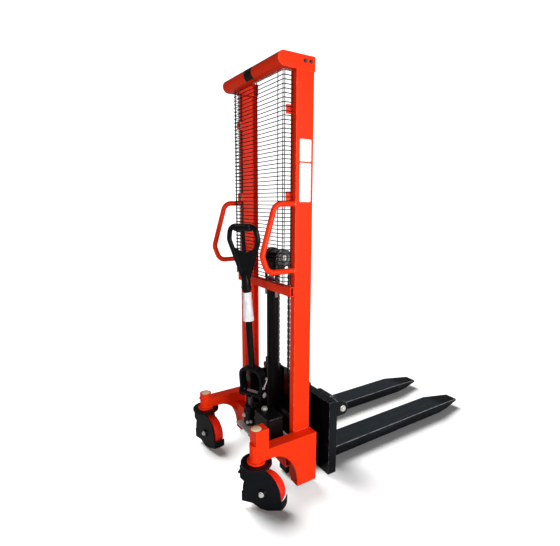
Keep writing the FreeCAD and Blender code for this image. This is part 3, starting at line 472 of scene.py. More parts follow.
# painted shade: the plunger's chrome is darkened as if in shade, a shaded copy of the rod's chrome
plungerSteel = metalFinish(
    "plungerSteel",
    "rod_chrome",
    {
        "colour": (0.17, 0.17, 0.175),
        "shade": (0.05, 0.047, 0.043),
        "stretch": (1, 1, 0.06),
        "lineScale": 300,
        "stainScale": 30,
        "stain": 0.8,
        "lines": 0.1,
        "metal": 0.9,
        "rough": 0.16,
        "bump": 0.03,
    },
)
zincPlate = metalFinish(
    "zincPlate",
    "zinc_plate",
    {
        "colour": (0.74, 0.73, 0.70),
        "shade": (0.50, 0.48, 0.43),
        "lineScale": 130,
        "stainScale": 18,
        "stain": 0.6,
        "lines": 0.18,
        "metal": 0.5,
        "rough": 0.26,
        "bump": 0.05,
    },
)
chainSteel = metalFinish(
    "chainSteel",
    "chain_steel",
    {
        "colour": (0.16, 0.16, 0.165),
        "shade": (0.045, 0.042, 0.038),
        "lineScale": 200,
        "stainScale": 45,
        "stain": 0.9,
        "lines": 0.2,
        "metal": 0.9,
        "rough": 0.22,
        "bump": 0.08,
    },
)
# white film round the tiller tube, crumpled, and a blank white label
sleeveFilm = Finish("sleeveFilm", "cream_plastic")
crumple = sleeveFilm.noise(38, 3, (1, 1, 0.5), 1.2)
creaseMix = sleeveFilm.mix(sleeveFilm.step(crumple, 0.35, 0.7), (0.80, 0.81, 0.83), (0.62, 0.63, 0.66))
sleeveFilm.put(Base_Color=creaseMix, Roughness=crumple * 0.2 + 0.22)
sleeveFilm.bump(crumple, 0.6, 0.004)
blankLabel = Finish("blankLabel", "cream_plastic")
ageing = blankLabel.noise(30, 4)
ageMix = blankLabel.mix(ageing * 0.6, (0.84, 0.84, 0.82), (0.70, 0.69, 0.66))
blankLabel.put(Base_Color=ageMix, Roughness=ageing * 0.15 + 0.35)
blankLabel.bump(blankLabel.noise(300, 2), 0.05, 0.0002)
# weld beads: the frame's paint over ripples
weldSeam = Finish("weldSeam", "frame_paint")
ripple = weldSeam.cells(260) + weldSeam.noise(120, 3) * 0.5
weldMix = weldSeam.mix(ripple * 0.5, (0.80, 0.055, 0.014), (0.52, 0.026, 0.008))
weldSeam.put(Base_Color=weldMix, Roughness=ripple * 0.15 + 0.25, Coat_Weight=0.3)
weldSeam.bump(ripple, 0.5, 0.002)
print("finishes made:", len(bpy.data.materials))


# Shapes: each helper returns a bmesh in millimetres
def boxShape(low, high):
    low, high = Vector(low), Vector(high)
    shape = bmesh.new()
    place = Matrix.Translation((low + high) / 2) @ Matrix.Diagonal((*(high - low), 1))
    bmesh.ops.create_cube(shape, size=1, matrix=place)
    return shape


def aimed(start, end):
    start, end = Vector(start), Vector(end)
    turn = (end - start).to_track_quat("Z", "Y").to_matrix().to_4x4()
    return Matrix.Translation((start + end) / 2) @ turn, (end - start).length


def rodShape(start, end, radius, endRadius=None, count=24):
    shape = bmesh.new()
    place, length = aimed(start, end)
    tip = radius if endRadius is None else endRadius
    bmesh.ops.create_cone(
        shape, cap_ends=True, segments=count, radius1=radius, radius2=tip, depth=length, matrix=place
    )
    return shape


def mirrored(half):
    # a profile from one end to its middle, and back to the other end
    return half + [(radius, -along) for radius, along in reversed(half)]


def latheShape(profile, spot, axis, count=36, closed=False):
    # (radius, distance along the axis) points, spun about the axis
    shape = bmesh.new()
    turn = Vector(axis).to_track_quat("Z", "Y").to_matrix().to_4x4()
    place = Matrix.Translation(spot) @ turn
    points = [shape.verts.new(place @ Vector((radius, 0, along))) for radius, along in profile]
    ends = points[1:] + points[:1] if closed else points[1:]
    edges = [shape.edges.new(pair) for pair in zip(points, ends)]
    bmesh.ops.spin(
        shape, geom=points + edges, cent=spot, axis=axis, angle=2 * pi, steps=count, use_merge=True
    )
    bmesh.ops.remove_doubles(shape, verts=shape.verts[:], dist=0.01)
    bmesh.ops.recalc_face_normals(shape, faces=shape.faces[:])
    return shape


def plateShape(outline, low, high, axis="y"):
    # a flat outline with thickness along x or y
    spots = {"x": [(low, a, b) for a, b in outline], "y": [(a, low, b) for a, b in outline]}
    push = {"x": (high - low, 0, 0), "y": (0, high - low, 0)}
    shape = bmesh.new()
    corners = [shape.verts.new(spot) for spot in spots[axis]]
    face = bmesh.ops.contextual_create(shape, geom=corners)["faces"]
    lifted = bmesh.ops.extrude_face_region(shape, geom=face)["geom"]
    moved = [v for v in lifted if isinstance(v, bmesh.types.BMVert)]
    bmesh.ops.translate(shape, vec=push[axis], verts=moved)
    bmesh.ops.recalc_face_normals(shape, faces=shape.faces[:])
    return shape


def tubeShape(points, bend, radius, count=16, steps=6):
    # a round bar along straight runs that are joined by bends
    points = [Vector(point) for point in points]
    shape = bmesh.new()
    turn = (points[1] - points[0]).to_track_quat("Z", "Y").to_matrix().to_4x4()
    place = Matrix.Translation(points[0]) @ turn
    bmesh.ops.create_circle(shape, cap_ends=False, radius=radius, segments=count, matrix=place)
    ring = shape.verts[:] + shape.edges[:]
    at = points[0]

    def push(ring, to, at):
        edges = [e for e in ring if isinstance(e, bmesh.types.BMEdge)]
        made = bmesh.ops.extrude_edge_only(shape, edges=edges)["geom"]
        fresh = {v for v in made if isinstance(v, bmesh.types.BMVert)}
        bmesh.ops.translate(shape, vec=to - at, verts=list(fresh))
        rim = [e for e in made if isinstance(e, bmesh.types.BMEdge) and set(e.verts) <= fresh]
        return list(fresh) + rim

    for before, corner, after in zip(points, points[1:], points[2:]):
        back = (before - corner).normalized()
        ahead = (after - corner).normalized()
        swing = pi - back.angle(ahead)
        setback = bend * tan(swing / 2)
        ring = push(ring, corner + back * setback, at)
        at = corner + ahead * setback
        centre = corner + (back + ahead).normalized() * (bend / cos(swing / 2))
        axis = (-back).cross(ahead)
        ring = bmesh.ops.spin(
            shape, geom=ring, cent=centre, axis=axis, angle=swing, steps=steps, use_merge=False
        )["geom_last"]
    push(ring, points[-1], at)
    bmesh.ops.holes_fill(shape, edges=[e for e in shape.edges if e.is_boundary], sides=0)
    bmesh.ops.recalc_face_normals(shape, faces=shape.faces[:])
    return shape


def bevelled(shape, edges, width, segments):
    made = bmesh.ops.bevel(
        shape,
        geom=edges,
        offset=width,
        offset_type="OFFSET",
        segments=segments,
        profile=0.5,
        affect="EDGES",
        material=-1,
        clamp_overlap=True,
    )
    return made["faces"]


def soften(shape, width, segments=2, angle=35):
    # rounds the sharp edges and marks the new faces, which the finishes colour as edge wear and painted
    # highlight
    layer = shape.faces.layers.float.get("edgeWear") or shape.faces.layers.float.new("edgeWear")
    sharp = [
        e for e in shape.edges if len(e.link_faces) == 2 and e.calc_face_angle() > radians(angle)
    ]
    for face in bevelled(shape, sharp, width, segments):
        face[layer] = 1.0
    return shape


def softBox(low, high, edge, segments=2):
    return soften(boxShape(low, high), edge, segments)


def joined(*shapes):
    whole = bmesh.new()
    whole.faces.layers.float.new("edgeWear")
    spare = bpy.data.meshes.new("spare")
    for shape in shapes:
        shape.to_mesh(spare)
        whole.from_mesh(spare)
        shape.free()
    bpy.data.meshes.remove(spare)
    return whole


def copied(shape, matrices):
    # one copy of a shape at each matrix
    spare = bpy.data.meshes.new("spare")
    shape.to_mesh(spare)
    shape.free()
    whole = bmesh.new()
    count = len(spare.vertices)
    for matrix in matrices:
        whole.from_mesh(spare)
        whole.verts.ensure_lookup_table()
        bmesh.ops.transform(whole, matrix=matrix, verts=whole.verts[-count:])
    bpy.data.meshes.remove(spare)
    return whole


def finished(name, shape, body, finish, place=toRow, stands=()):
    # the shape becomes a piece that rides on a body, and may stand for CAD nodes
    shape = joined(shape)
    bmesh.ops.transform(shape, matrix=place, verts=shape.verts[:])
    mesh = bpy.data.meshes.new(name)
    shape.to_mesh(mesh)
    shape.free()
    mesh.polygons.foreach_set("use_smooth", [True] * len(mesh.polygons))
    mesh.set_sharp_from_angle(angle=radians(38))
    mesh.materials.append(finish.material)
    piece = bpy.data.objects.new(name, mesh)
    bpy.context.scene.collection.objects.link(piece)
    normals = piece.modifiers.new("evenShading", "WEIGHTED_NORMAL")
    normals.keep_sharp = True
    if body:
        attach(piece, body)
    if stands:
        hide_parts(*stands)
    return piece


def dressed(node, width, finish):
    # the node's own shape with rounded edges
    shape = bmesh.new()
    shape.from_mesh(frame["nodes"][node].data)
    bmesh.ops.transform(shape, matrix=toMast, verts=shape.verts[:])
    bmesh.ops.remove_doubles(shape, verts=shape.verts[:], dist=0.01)
    bmesh.ops.dissolve_limit(
        shape, angle_limit=radians(0.6), verts=shape.verts[:], edges=shape.edges[:]
    )
    soften(shape, width)
    body = frame["nodes"][node]["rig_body"]
    finished(node + "_skin", shape, body, finish, stands=(node,))


def dressAll(skins):
    # the width of each node's rounded edges, and its finish
    for node, (width, finish) in skins.items():
        dressed(node, width, finish)


# width across the flats, thickness and washer's radius of each kind of bolt or nut
boltSizes = {
    "frame": (12, 6, 8.5),
    "sheave": (22, 6, 15),
    "anchor": (24, 12, 15),
    "shaft": (21, 8, 15),
    "axle": (18, 9, 13),
    "axleNut": (26, 9, 16),
    "valve": (19, 12, 13),
    "plug": (13, 8, 9),
    "port": (17, 10, 12),
    "filler": (24, 12, 17),
    "union": (18, 14, 0),
    "pivot": (19, 7, 15),
    "stay": (11, 9, 8),
    "catch": (8, 3.5, 5.5),
}
boltForm = {"seat": 0.2, "corner": 0.577, "edge": 0.12, "washerEdge": 0.05}
boltCrown = {"sink": 0.2, "rise": 0.06, "low": 0.42, "top": 0.36}


def hexBolt(spot, axis, kind):
    # a hexagon head or nut with rounded corners, on a washer
    across, thick, washer = boltSizes[kind]
    spot, axis = Vector(spot), Vector(axis).normalized()
    seat = spot + axis * thick * boltForm["seat"]
    crown = spot + axis * thick
    head = rodShape(seat, crown, across * boltForm["corner"], count=6)
    shapes = [soften(head, thick * boltForm["edge"])]
    crownLow = crown - axis * boltCrown["sink"]
    crownTop = crown + axis * thick * boltCrown["rise"]
    shapes.append(rodShape(crownLow, crownTop, across * boltCrown["low"], across * boltCrown["top"]))
    if washer:
        shapes.append(soften(rodShape(spot, seat, washer, count=28), thick * boltForm["washerEdge"]))
    return joined(*shapes)


def bead(points, radius=3.2):
    return tubeShape(points, 6, radius, count=10, steps=4)


# Mast: posts, beams, handles and the wire guard
mastEdges = {
    "mast_post_left": 2.6,
    "mast_post_right": 2.6,
    "top_beam": 1.6,
    "top_end_plates": 1.6,
    "mid_beam": 2.0,
    "base_cross_beam": 2.5,
    "mast_foot_plate": 2.0,
}
for node, edge in mastEdges.items():
    dressed(node, edge, framePaint)
postLow, postHigh = span("mast_post_right")
postFace = -postLow.y
postDepth = postHigh.x

handle = {"bottom": 1065, "knee": 1140, "top": 1365, "reach": 163, "topRun": 97, "bottomRun": 135}
handleTube = {"radius": 12.5, "bend": 45}
handleLow, handleHigh = span("grab_handle_left")
handleY = (handleLow.y + handleHigh.y) / 2
for side, sign in sides:
    y = sign * handleY
    route = [
        (0, y, handle["top"]),
        (-handle["topRun"], y, handle["top"]),
        (-handle["reach"], y, handle["knee"]),
        (-handle["bottomRun"], y, handle["bottom"]),
        (0, y, handle["bottom"]),
    ]
    bar = tubeShape(route, handleTube["bend"], handleTube["radius"], count=24, steps=9)
    finished(f"handle_{side}", bar, "chassis", framePaint, stands=(f"grab_handle_{side}",))
    ringProfile = [(12.3, -7), (14, -5.6), (15.6, -2.6), (16.2, 0), (12.3, 0)]
    rings = [
        latheShape(ringProfile, (0, y, z), (1, 0, 0), 28, closed=True)
        for z in (handle["top"], handle["bottom"])
    ]
    finished(f"handleWelds_{side}", joined(*rings), "chassis", weldSeam)

wire = {"radius": 2.0, "rows": 52, "bend": 9, "behind": 3.4, "rowEnd": -0.2, "sideX": -3.0, "edge": 0.6}
columnShares = (-1.0, -0.79, 0.0, 0.79, 1.0)
meshLow, meshHigh = span("mesh_guard")
half = meshHigh.y - wire["radius"]
backX = meshLow.x + wire["radius"]
endX = wire["rowEnd"]
route = [(endX, half, 0), (backX, half, 0), (backX, -half, 0), (endX, -half, 0)]
rowShape = tubeShape(route, wire["bend"], wire["radius"], count=7, steps=3)
firstRow = meshLow.z + wire["radius"]
pitch = (meshHigh.z - meshLow.z - 2 * wire["radius"]) / (wire["rows"] - 1)
rows = copied(
    rowShape, [Matrix.Translation((0, 0, firstRow + row * pitch)) for row in range(wire["rows"])]
)
columns = []
for share in columnShares:
    inset = 0 if abs(share) < 1 else wire["bend"]
    y = share * half - inset * share
    columns.append((backX + wire["behind"], y))
for y in (half - wire["behind"], wire["behind"] - half):
    columns += [(wire["sideX"], y), (backX + wire["bend"], y)]
uprights = [
    soften(rodShape((x, y, meshLow.z), (x, y, meshHigh.z), wire["radius"], count=8), wire["edge"])
    for x, y in columns
]
finished("wireGuard", joined(rows, *uprights), "chassis", meshPaint, stands=("mesh_guard",))
print("mast, handles and wire guard made")

# Bolts on the end plates and the guard's tabs
bolt = {"plateInsets": (24, 54), "plateDrop": 24, "tabDrops": (158, 525), "tabX": -15}
plateHigh = span("top_end_plates")[1]
heads = []
for side, sign in sides:
    for inset in bolt["plateInsets"]:
        spot = (plateHigh.x - inset, sign * postFace, plateHigh.z - bolt["plateDrop"])
        heads.append(hexBolt(spot, (0, sign, 0), "frame"))
    for drop in bolt["tabDrops"]:
        spot = (bolt["tabX"], sign * -postHigh.y, postHigh.z - drop)
        heads.append(hexBolt(spot, (0, -sign, 0), "frame"))
finished("frameBolts", joined(*heads), "chassis", boltSteel, stands=("frame_bolts",))

# Blank plates: two white ones on the right post and a dark one round the beam's nose
labels = {"x": (20, 82), "heights": ((1548, 1643), (1373, 1542)), "thick": 0.6, "corner": 5}
labelLine = {"inset": 4.5, "width": 0.9, "sink": 0.1, "rise": 0.15, "cover": 0.3}


def labelShape(low, high, inset, back, front):
    # a thin plate with round corners on the post's outer face
    rear, fore = labels["x"]
    lowCorner = (rear + inset, -postFace - front, low + inset)
    highCorner = (fore - inset, -postFace - back, high - inset)
    plate = boxShape(lowCorner, highCorner)
    corners = [e for e in plate.edges if abs((e.verts[0].co - e.verts[1].co).y) > 0.01]
    bevelled(plate, corners, max(labels["corner"] - inset, 1), 5)
    return plate


for count, (low, high) in enumerate(labels["heights"]):
    thick, inset = labels["thick"], labelLine["inset"]
    sunk = thick - labelLine["sink"]
    cover = labelShape(low, high, inset + labelLine["width"], sunk, thick + labelLine["cover"])
    sticker = joined(labelShape(low, high, 0, 0, thick), cover)
    finished(f"blankLabel_{count}", sticker, "chassis", blankLabel)
    line = labelShape(low, high, inset, sunk, thick + labelLine["rise"])
    finished(f"labelRule_{count}", line, "chassis", hubIron)
noseBadge = {"half": 33, "from": -62, "to": 38, "thick": 1.2, "gap": 0.1}
beamBoxLow, beamBoxHigh = span("top_beam")
noseRadius = (beamBoxHigh.z - beamBoxLow.z) / 2
noseSpot = Vector((beamBoxLow.x + noseRadius, 0, beamBoxLow.z + noseRadius))
badge = bmesh.new()
ends = []
for y in (-noseBadge["half"], noseBadge["half"]):
    lean = radians(noseBadge["from"])
    reach = noseRadius + noseBadge["gap"]
    ends.append(badge.verts.new(noseSpot + Vector((-reach * cos(lean), y, reach * sin(lean)))))
strip = badge.edges.new(ends)
bmesh.ops.spin(
    badge,
    geom=ends + [strip],
    cent=noseSpot,
    axis=(0, 1, 0),
    angle=radians(noseBadge["to"] - noseBadge["from"]),
    steps=14,
    use_merge=False,
)
bmesh.ops.recalc_face_normals(badge, faces=badge.faces[:])
bmesh.ops.solidify(badge, geom=badge.faces[:], thickness=-noseBadge["thick"])
bmesh.ops.recalc_face_normals(badge, faces=badge.faces[:])
finished("noseBadge", badge, "chassis", blackPlastic)

# Base: arms, legs, caps and weld beads
base = {"armEdge": 3.0, "legEdge": 1.8, "rollerEdge": 2.0, "axleEdge": 1.2}
for side, sign in sides:
    dressed(f"base_arm_{side}", base["armEdge"], framePaint)
    dressed(f"leg_{side}", base["legEdge"], blackPaint)
    dressed(f"leg_roller_{side}", base["rollerEdge"], nylonWhite)
dressed("leg_axles", base["axleEdge"], bareSteel)
rim, rise = 24, 6
capLow, capHigh = span("caster_caps")
capX = (capLow.x + capHigh.x) / 2
capY = capHigh.y - rim
dome = [(0, rise), (9, rise - 0.3), (17, 4.4), (rim - 2, 2.4), (rim, 0.8), (rim, 0), (0, 0)]
caps = [
    latheShape(dome, (capX, capY, capLow.z), (0, 0, 1), 36),
    latheShape(dome, (capX, -capY, capHigh.z - rise), (0, 0, 1), 36),
]
finished("housingCaps", joined(*caps), "chassis", creamPlastic, stands=("caster_caps",))
armSeam = {"top": 273, "out": 1, "inset": 4, "collar": 31}
midSeam = {"x": -1, "inset": 38, "low": 945, "high": 989, "radius": 2.4}
armTop = armSeam["top"]
seams = []
for side, sign in sides:
    y = sign * (postFace + armSeam["out"])
    seams.append(bead([(armSeam["inset"], y, armTop), (postDepth - armSeam["inset"], y, armTop)]))
    y = sign * (postFace - midSeam["inset"])
    line = [(midSeam["x"], y, midSeam[end]) for end in ("low", "high")]
    seams.append(bead(line, midSeam["radius"]))
bore = armSeam["collar"]
collar = [(bore, 0), (bore + 5, 0), (bore + 3.5, 3), (bore, 5)]
seams.append(latheShape(collar, (capX, capY, armTop), (0, 0, 1), 32, closed=True))
finished("frameWelds", joined(*seams), "chassis", weldSeam)
print("base made")

# Lift: cylinder, rod, sheaves and chains
lift = {"x": 46.5, "radius": 31.5, "foot": 37, "band": 33.2, "bottom": 90, "top": 985, "rod": 20.1}
barrelRadius, barrelLow, barrelTop = lift["radius"], lift["bottom"], lift["top"]
barrelProfile = [
    (0, barrelLow),
    (lift["foot"], barrelLow),
    (lift["foot"], barrelLow + 6),
    (barrelRadius + 2, barrelLow + 9),
    (barrelRadius, barrelLow + 11),
    (barrelRadius, 240),
    (lift["band"], 242),
    (lift["band"], 276),
    (barrelRadius, 278),
    (barrelRadius, barrelTop - 7),
    (barrelRadius - 1, barrelTop - 5),
    (barrelRadius - 1, barrelTop - 2),
    (barrelRadius, barrelTop),
    (0, barrelTop),
]
barrel = latheShape(barrelProfile, (lift["x"], 0, 0), (0, 0, 1), 48)
finished("liftCylinder", barrel, "chassis", blackPaint, stands=("cylinder_barrel",))
glandProfile = [
    (lift["rod"], barrelTop),
    (barrelRadius, barrelTop),
    (barrelRadius, barrelTop + 8),
    (barrelRadius - 2, barrelTop + 12),
    (24, barrelTop + 12),
    (23, barrelTop + 10),
    (lift["rod"], barrelTop + 10),
]
gland = latheShape(glandProfile, (lift["x"], 0, 0), (0, 0, 1), 40, closed=True)
finished("rodGland", gland, "chassis", bareSteel, stands=("cylinder_gland",))
dressAll({"piston_rod": (1.0, rodChrome), "sheave_yoke": (2.0, blackPaint)})
sheave = {"x": 75, "z": 1095, "y": 50, "pitch": 38, "axle": 11, "axleReach": 11, "axleEdge": 0.6}
webHalf = [(11.1, -10.5), (20, -10.5), (21.5, -8.5), (29, -7.5), (36, -8.5), (38, -10.5)]
grooveHalf = [(45, -10.5), (46, -9.9), (44, -8.6), (32.5, -8.2)]
pulleyProfile = mirrored(webHalf + grooveHalf)
for side, sign in sides:
    spot = (sheave["x"], sign * sheave["y"], sheave["z"])
    pulley = latheShape(pulleyProfile, spot, (0, 1, 0), 44, closed=True)
    finished(f"pulley_{side}", pulley, f"sheave_{side}", boltSteel, stands=(f"sheave_{side}",))
axleEnd = sheave["y"] + sheave["axleReach"]
axleSpots = {side: (sheave["x"], sign * axleEnd, sheave["z"]) for side, sign in sides}
axle = rodShape(axleSpots["right"], axleSpots["left"], sheave["axle"])
axleShapes = [soften(axle, sheave["axleEdge"])]
for side, sign in sides:
    axleShapes.append(hexBolt(axleSpots[side], (0, sign, 0), "sheave"))
finished("sheaveAxle", joined(*axleShapes), "lift_rod", bareSteel, stands=("sheave_axle",))

chain = {"pitch": 15.875, "plate": 2.8, "half": 5.0, "waist": 3.9, "pin": 2.4, "width": 15.4}
leaves = {"wide": (-6, 0, 6), "narrow": (-3, 3), "tip": 0.86}
wrapLinks = 8


def linkShape(offsets):
    # one pitch of leaf chain along z: plates with round ends, and the pin at their low end
    reach = chain["pitch"] / 2
    outline = []
    for end, start in ((1, 0), (-1, 180)):
        for turn in (20, 55, 90, 125, 160):
            a = radians(start + turn)
            tip = chain["half"] * leaves["tip"] * sin(a)
            outline.append((chain["half"] * cos(a), end * reach + tip))
        outline.append((-end * chain["waist"], 0))
    shapes = [plateShape(outline, y - chain["plate"] / 2, y + chain["plate"] / 2) for y in offsets]
    y = chain["width"] / 2
    shapes.append(rodShape((0, -y, -reach), (0, y, -reach), chain["pin"], count=8))
    return joined(*shapes)


def chainShape(places):
    wide = copied(linkShape(leaves["wide"]), places[0::2])
    narrow = copied(linkShape(leaves["narrow"]), places[1::2])
    return joined(wide, narrow)


def straightRun(x, y, low, high):
    count = round((high - low) / chain["pitch"])
    step = (high - low) / count
    fit = Matrix.Diagonal((1, 1, step / chain["pitch"], 1))
    return [Matrix.Translation((x, y, low + (i + 0.5) * step)) @ fit for i in range(count)]


frontX = sheave["x"] + sheave["pitch"]
rearX = sheave["x"] - sheave["pitch"]
lugTop, bracketTop = 285, 958
fronts, rears, wraps = [], [], []
for side, sign in sides:
    y = sign * sheave["y"]
    fronts.append(chainShape(straightRun(frontX, y, lugTop, sheave["z"])))
    rears.append(chainShape(straightRun(rearX, y, bracketTop, sheave["z"])))
    centre = Matrix.Translation((sheave["x"], y, sheave["z"]))
    arc = Matrix.Translation((sheave["pitch"], 0, 0))
    angles = [-pi * (i + 0.5) / wrapLinks for i in range(wrapLinks)]
    wraps.append(chainShape([centre @ Matrix.Rotation(angle, 4, "Y") @ arc for angle in angles]))
frontRun = finished("chainFront", joined(*fronts), "lift_rod", chainSteel, stands=("chain_front_runs",))
finished("chainWrap", joined(*wraps), "lift_rod", chainSteel, stands=("chain_wraps",))
stroke = joints["rod_slide"]["range_m"][1] * 1000
frontLength = sheave["z"] - lugTop
(frontLength - stroke) / frontLength
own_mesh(frontRun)
rearRun = finished("chainRear", joined(*rears), None, chainSteel, stands=("chain_rear_runs",))
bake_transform(rearRun)

anchor = {"radius": 8.0, "root": 6.9, "tip": 6.4, "length": 62, "plate": 14, "ridges": 18, "pitch": 2.0}
anchorEye = {"x": 6, "y": 9, "height": 14, "edge": 2}
threads = []
low = bracketTop - anchor["length"]
seatZ = bracketTop - anchor["plate"]
thread = [(0, low), (anchor["tip"], low)]
for ridge in range(anchor["ridges"]):
    z = low + (ridge + 0.5) * anchor["pitch"]
    thread += [(anchor["root"], z), (anchor["radius"], z + anchor["pitch"] / 2)]
thread += [(anchor["radius"], seatZ), (0, seatZ)]
for side, sign in sides:
    y = sign * sheave["y"]
    threads.append(latheShape(thread, (rearX, y, 0), (0, 0, 1), 20))
    threads.append(hexBolt((rearX, y, seatZ), (0, 0, -1), "anchor"))
    eyeLow = (rearX - anchorEye["x"], y - anchorEye["y"], bracketTop)
    eyeHigh = (rearX + anchorEye["x"], y + anchorEye["y"], bracketTop + anchorEye["height"])
    threads.append(softBox(eyeLow, eyeHigh, anchorEye["edge"]))
finished("anchorBolts", joined(*threads), "chassis", zincPlate, stands=("chain_anchor_bolts",))
print("lift made")

# Carriage and forks
carriage = {"forkEdge": 4.0, "rollerEdge": 2.0, "boltSink": 0.5}
carriageSkins = {
    "carriage_plate": (2.4, carriagePaint),
    "carriage_frame": (2.4, carriagePaint),
    "fork_shaft": (2.0, bareSteel),
}
dressAll(carriageSkins)
for side, sign in sides:
    dressed(f"fork_{side}", carriage["forkEdge"], forkPaint)
    for level in ("low", "high"):
        dressed(f"carriage_roller_{level}_{side}", carriage["rollerEdge"], bareSteel)
shaftLow, shaftHigh = span("fork_shaft")
shaftX, shaftZ = (shaftLow.x + shaftHigh.x) / 2, (shaftLow.z + shaftHigh.z) / 2
ends = []
for side, sign in sides:
    spot = (shaftX, sign * (shaftHigh.y - carriage["boltSink"]), shaftZ)
    ends.append(hexBolt(spot, (0, sign, 0), "shaft"))
finished("shaftEnds", joined(*ends), "carriage", zincPlate)
print("carriage and forks made")

# Casters: guards, wheels and brakes
caster = {"trail": 45, "radius": 90, "guardFace": 36.5, "bossFace": 45, "boltSink": 0.5, "ribs": 6}
tyreHalf = [(76, -25), (82, -25), (82.8, -24.3), (84, -25), (87.5, -23.8), (89.4, -21), (90, -16)]
hubHalf = [(10.1, -27), (26, -27), (28, -25.5), (29, -11), (66, -9), (69, -12), (70, -25), (76, -25)]
tyreProfile, hubProfile = mirrored(tyreHalf), mirrored(hubHalf)
guardFace, bossFace = caster["guardFace"], caster["bossFace"]
hubRib = {"low": (27, -17, -2.5), "high": (69, 17, 2.5), "edge": 1.2}
guardBrow = {"low": (-64, -40, 193), "high": (64, -guardFace, 200), "edge": 1.2}
guardRib = {"low": (-55, -39, 54), "high": (-51, -guardFace, 78), "edge": 0.8}
raceProfile = [(20, 203), (52, 203), (53, 205), (53, 209), (51, 211), (20, 211)]
bossProfile = [
    (0, -bossFace),
    (17, -bossFace),
    (19.5, 1.5 - bossFace),
    (21.5, 7 - bossFace),
    (24, -guardFace),
    (0, -guardFace),
]
for side, sign in sides:
    spot = (caster["trail"], 0, caster["radius"])
    place = casterFrame[side]
    tyre = latheShape(tyreProfile, spot, (0, 1, 0), 64, closed=True)
    finished(f"tyre_{side}", tyre, f"wheel_{side}", wheelTread, place, (f"caster_tyre_{side}",))
    hub = [latheShape(hubProfile, spot, (0, 1, 0), 48, closed=True)]
    for turn in range(caster["ribs"]):
        rib = softBox(**hubRib)
        swing = Matrix.Rotation(2 * pi * turn / caster["ribs"], 4, "Y")
        bmesh.ops.transform(rib, matrix=Matrix.Translation(spot) @ swing, verts=rib.verts[:])
        hub.append(rib)
    finished(f"hub_{side}", joined(*hub), f"wheel_{side}", hubIron, place, (f"caster_hub_{side}",))
    casterSkins = {
        f"caster_guard_{side}": (1.0, blackPlastic),
        f"caster_yoke_{side}": (1.4, blackPaint),
        f"brake_pedal_{side}": (1.6, blackPlastic),
    }
    dressAll(casterSkins)
    boss = latheShape(bossProfile, spot, (0, 1, 0), 32)
    race = latheShape(raceProfile, *upright, 36, closed=True)
    trim = joined(boss, softBox(**guardBrow), softBox(**guardRib), race)
    finished(f"guardTrim_{side}", trim, f"caster_{side}", blackPlastic, place)
    boltSpot = (caster["trail"], caster["boltSink"] - bossFace, caster["radius"])
    bright = hexBolt(boltSpot, (0, -1, 0), "axle")
    inner = hexBolt((caster["trail"], guardFace, caster["radius"]), (0, 1, 0), "axleNut")
    finished(f"axleBolts_{side}", joined(bright, inner), f"caster_{side}", zincPlate, place)
print("casters made")

# Pump group
pumpSkins = {
    "pump_plate": (1.4, zincPlate),
    "pump_body": (2.5, blackPaint),
    "oil_tank": (4.0, blackPaint),
    "hydraulic_pipe": (0.6, zincPlate),
    # the plunger takes the chrome painted dark as shade
    "pump_plunger": (1.5, plungerSteel),
}
dressAll(pumpSkins)
pumpLow, pumpHigh = span("pump_body")
pumpX = (pumpLow.x + pumpHigh.x) / 2
tankTop = span("oil_tank")[1].z
# the seat of each fitting, the way it points and its kind
fittings = [
    ((pumpX + 17, pumpLow.y, 262), (0, -1, 0), "valve"),
    ((pumpX - 16, pumpLow.y, 246), (0, -1, 0), "plug"),
    ((pumpLow.x, 14, 268), (-1, 0, 0), "port"),
    ((pumpLow.x, -22, 244), (-1, 0, 0), "plug"),
    ((-65, -101, tankTop), (0, 0, 1), "filler"),
    ((pumpHigh.x, 0, 257), (1, 0, 0), "union"),
]
fittingShapes = [hexBolt(*fitting) for fitting in fittings]
finished("pumpFittings", joined(*fittingShapes), "chassis", zincPlate)
print("pump made")

# Tiller: head, yoke, tube, loop and lever, drawn about the pivot
tillerSkins = {
    "tiller_head": (2.0, blackPaint),
    "tiller_yoke": (3.0, blackPaint),
    "pivot_pin": (2.0, bareSteel),
    "control_lever": (2.2, blackPlastic),
}
dressAll(tillerSkins)
ear = {"face": 70, "boltSink": 0.5}
boltFace = ear["face"] - ear["boltSink"]
pivotEnds = [hexBolt((0, sign * boltFace, 0), (0, sign, 0), "pivot") for side, sign in sides]
finished("pivotEnds", joined(*pivotEnds), frame["nodes"]["pivot_pin"]["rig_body"], zincPlate, tillerFrame)
stay = {"out": 4, "bend": 6, "radius": 3.4, "bolts": ((-6, 42), (24, 82))}
stayY = -ear["face"] - stay["out"]
stayRoute = [(-8, stayY, 40), (2, stayY, 52), (22, stayY, 70), (24, stayY, 84)]
stayShapes = [tubeShape(stayRoute, stay["bend"], stay["radius"], count=12, steps=5)]
for x, z in stay["bolts"]:
    stayShapes.append(hexBolt((x, -boltFace, z), (0, -1, 0), "stay"))
finished("earStay", joined(*stayShapes), "tiller", zincPlate, tillerFrame)
tiller = {"tubeLow": 146, "tubeTop": 552, "neckTop": 628, "loopTop": 889, "crown": 79}
tubeLow, tubeTop = tiller["tubeLow"], tiller["tubeTop"]
tubeProfile = [(14, tubeLow), (17, tubeLow), (17, tubeTop), (14, tubeTop)]
tube = latheShape(tubeProfile, *upright, 32, closed=True)
finished("tillerTube", tube, "tiller", blackPaint, tillerFrame, ("tiller_tube",))
loop = {"tube": 12, "foot": 12, "shoulder": 88, "topHalf": 75, "bend": 40}
web = {"top": 771, "half": 62, "slot": 5.5, "slotDepth": 24.5, "thickHalf": 7, "edge": 2.2}
grip = {"x": 15, "y": 52, "below": 24, "above": 11.5, "edge": 9.0, "segments": 4}
shoulderZ = tiller["loopTop"] - tiller["crown"]
topZ = tiller["loopTop"] - loop["tube"]
footZ = tiller["neckTop"] - loop["tube"]
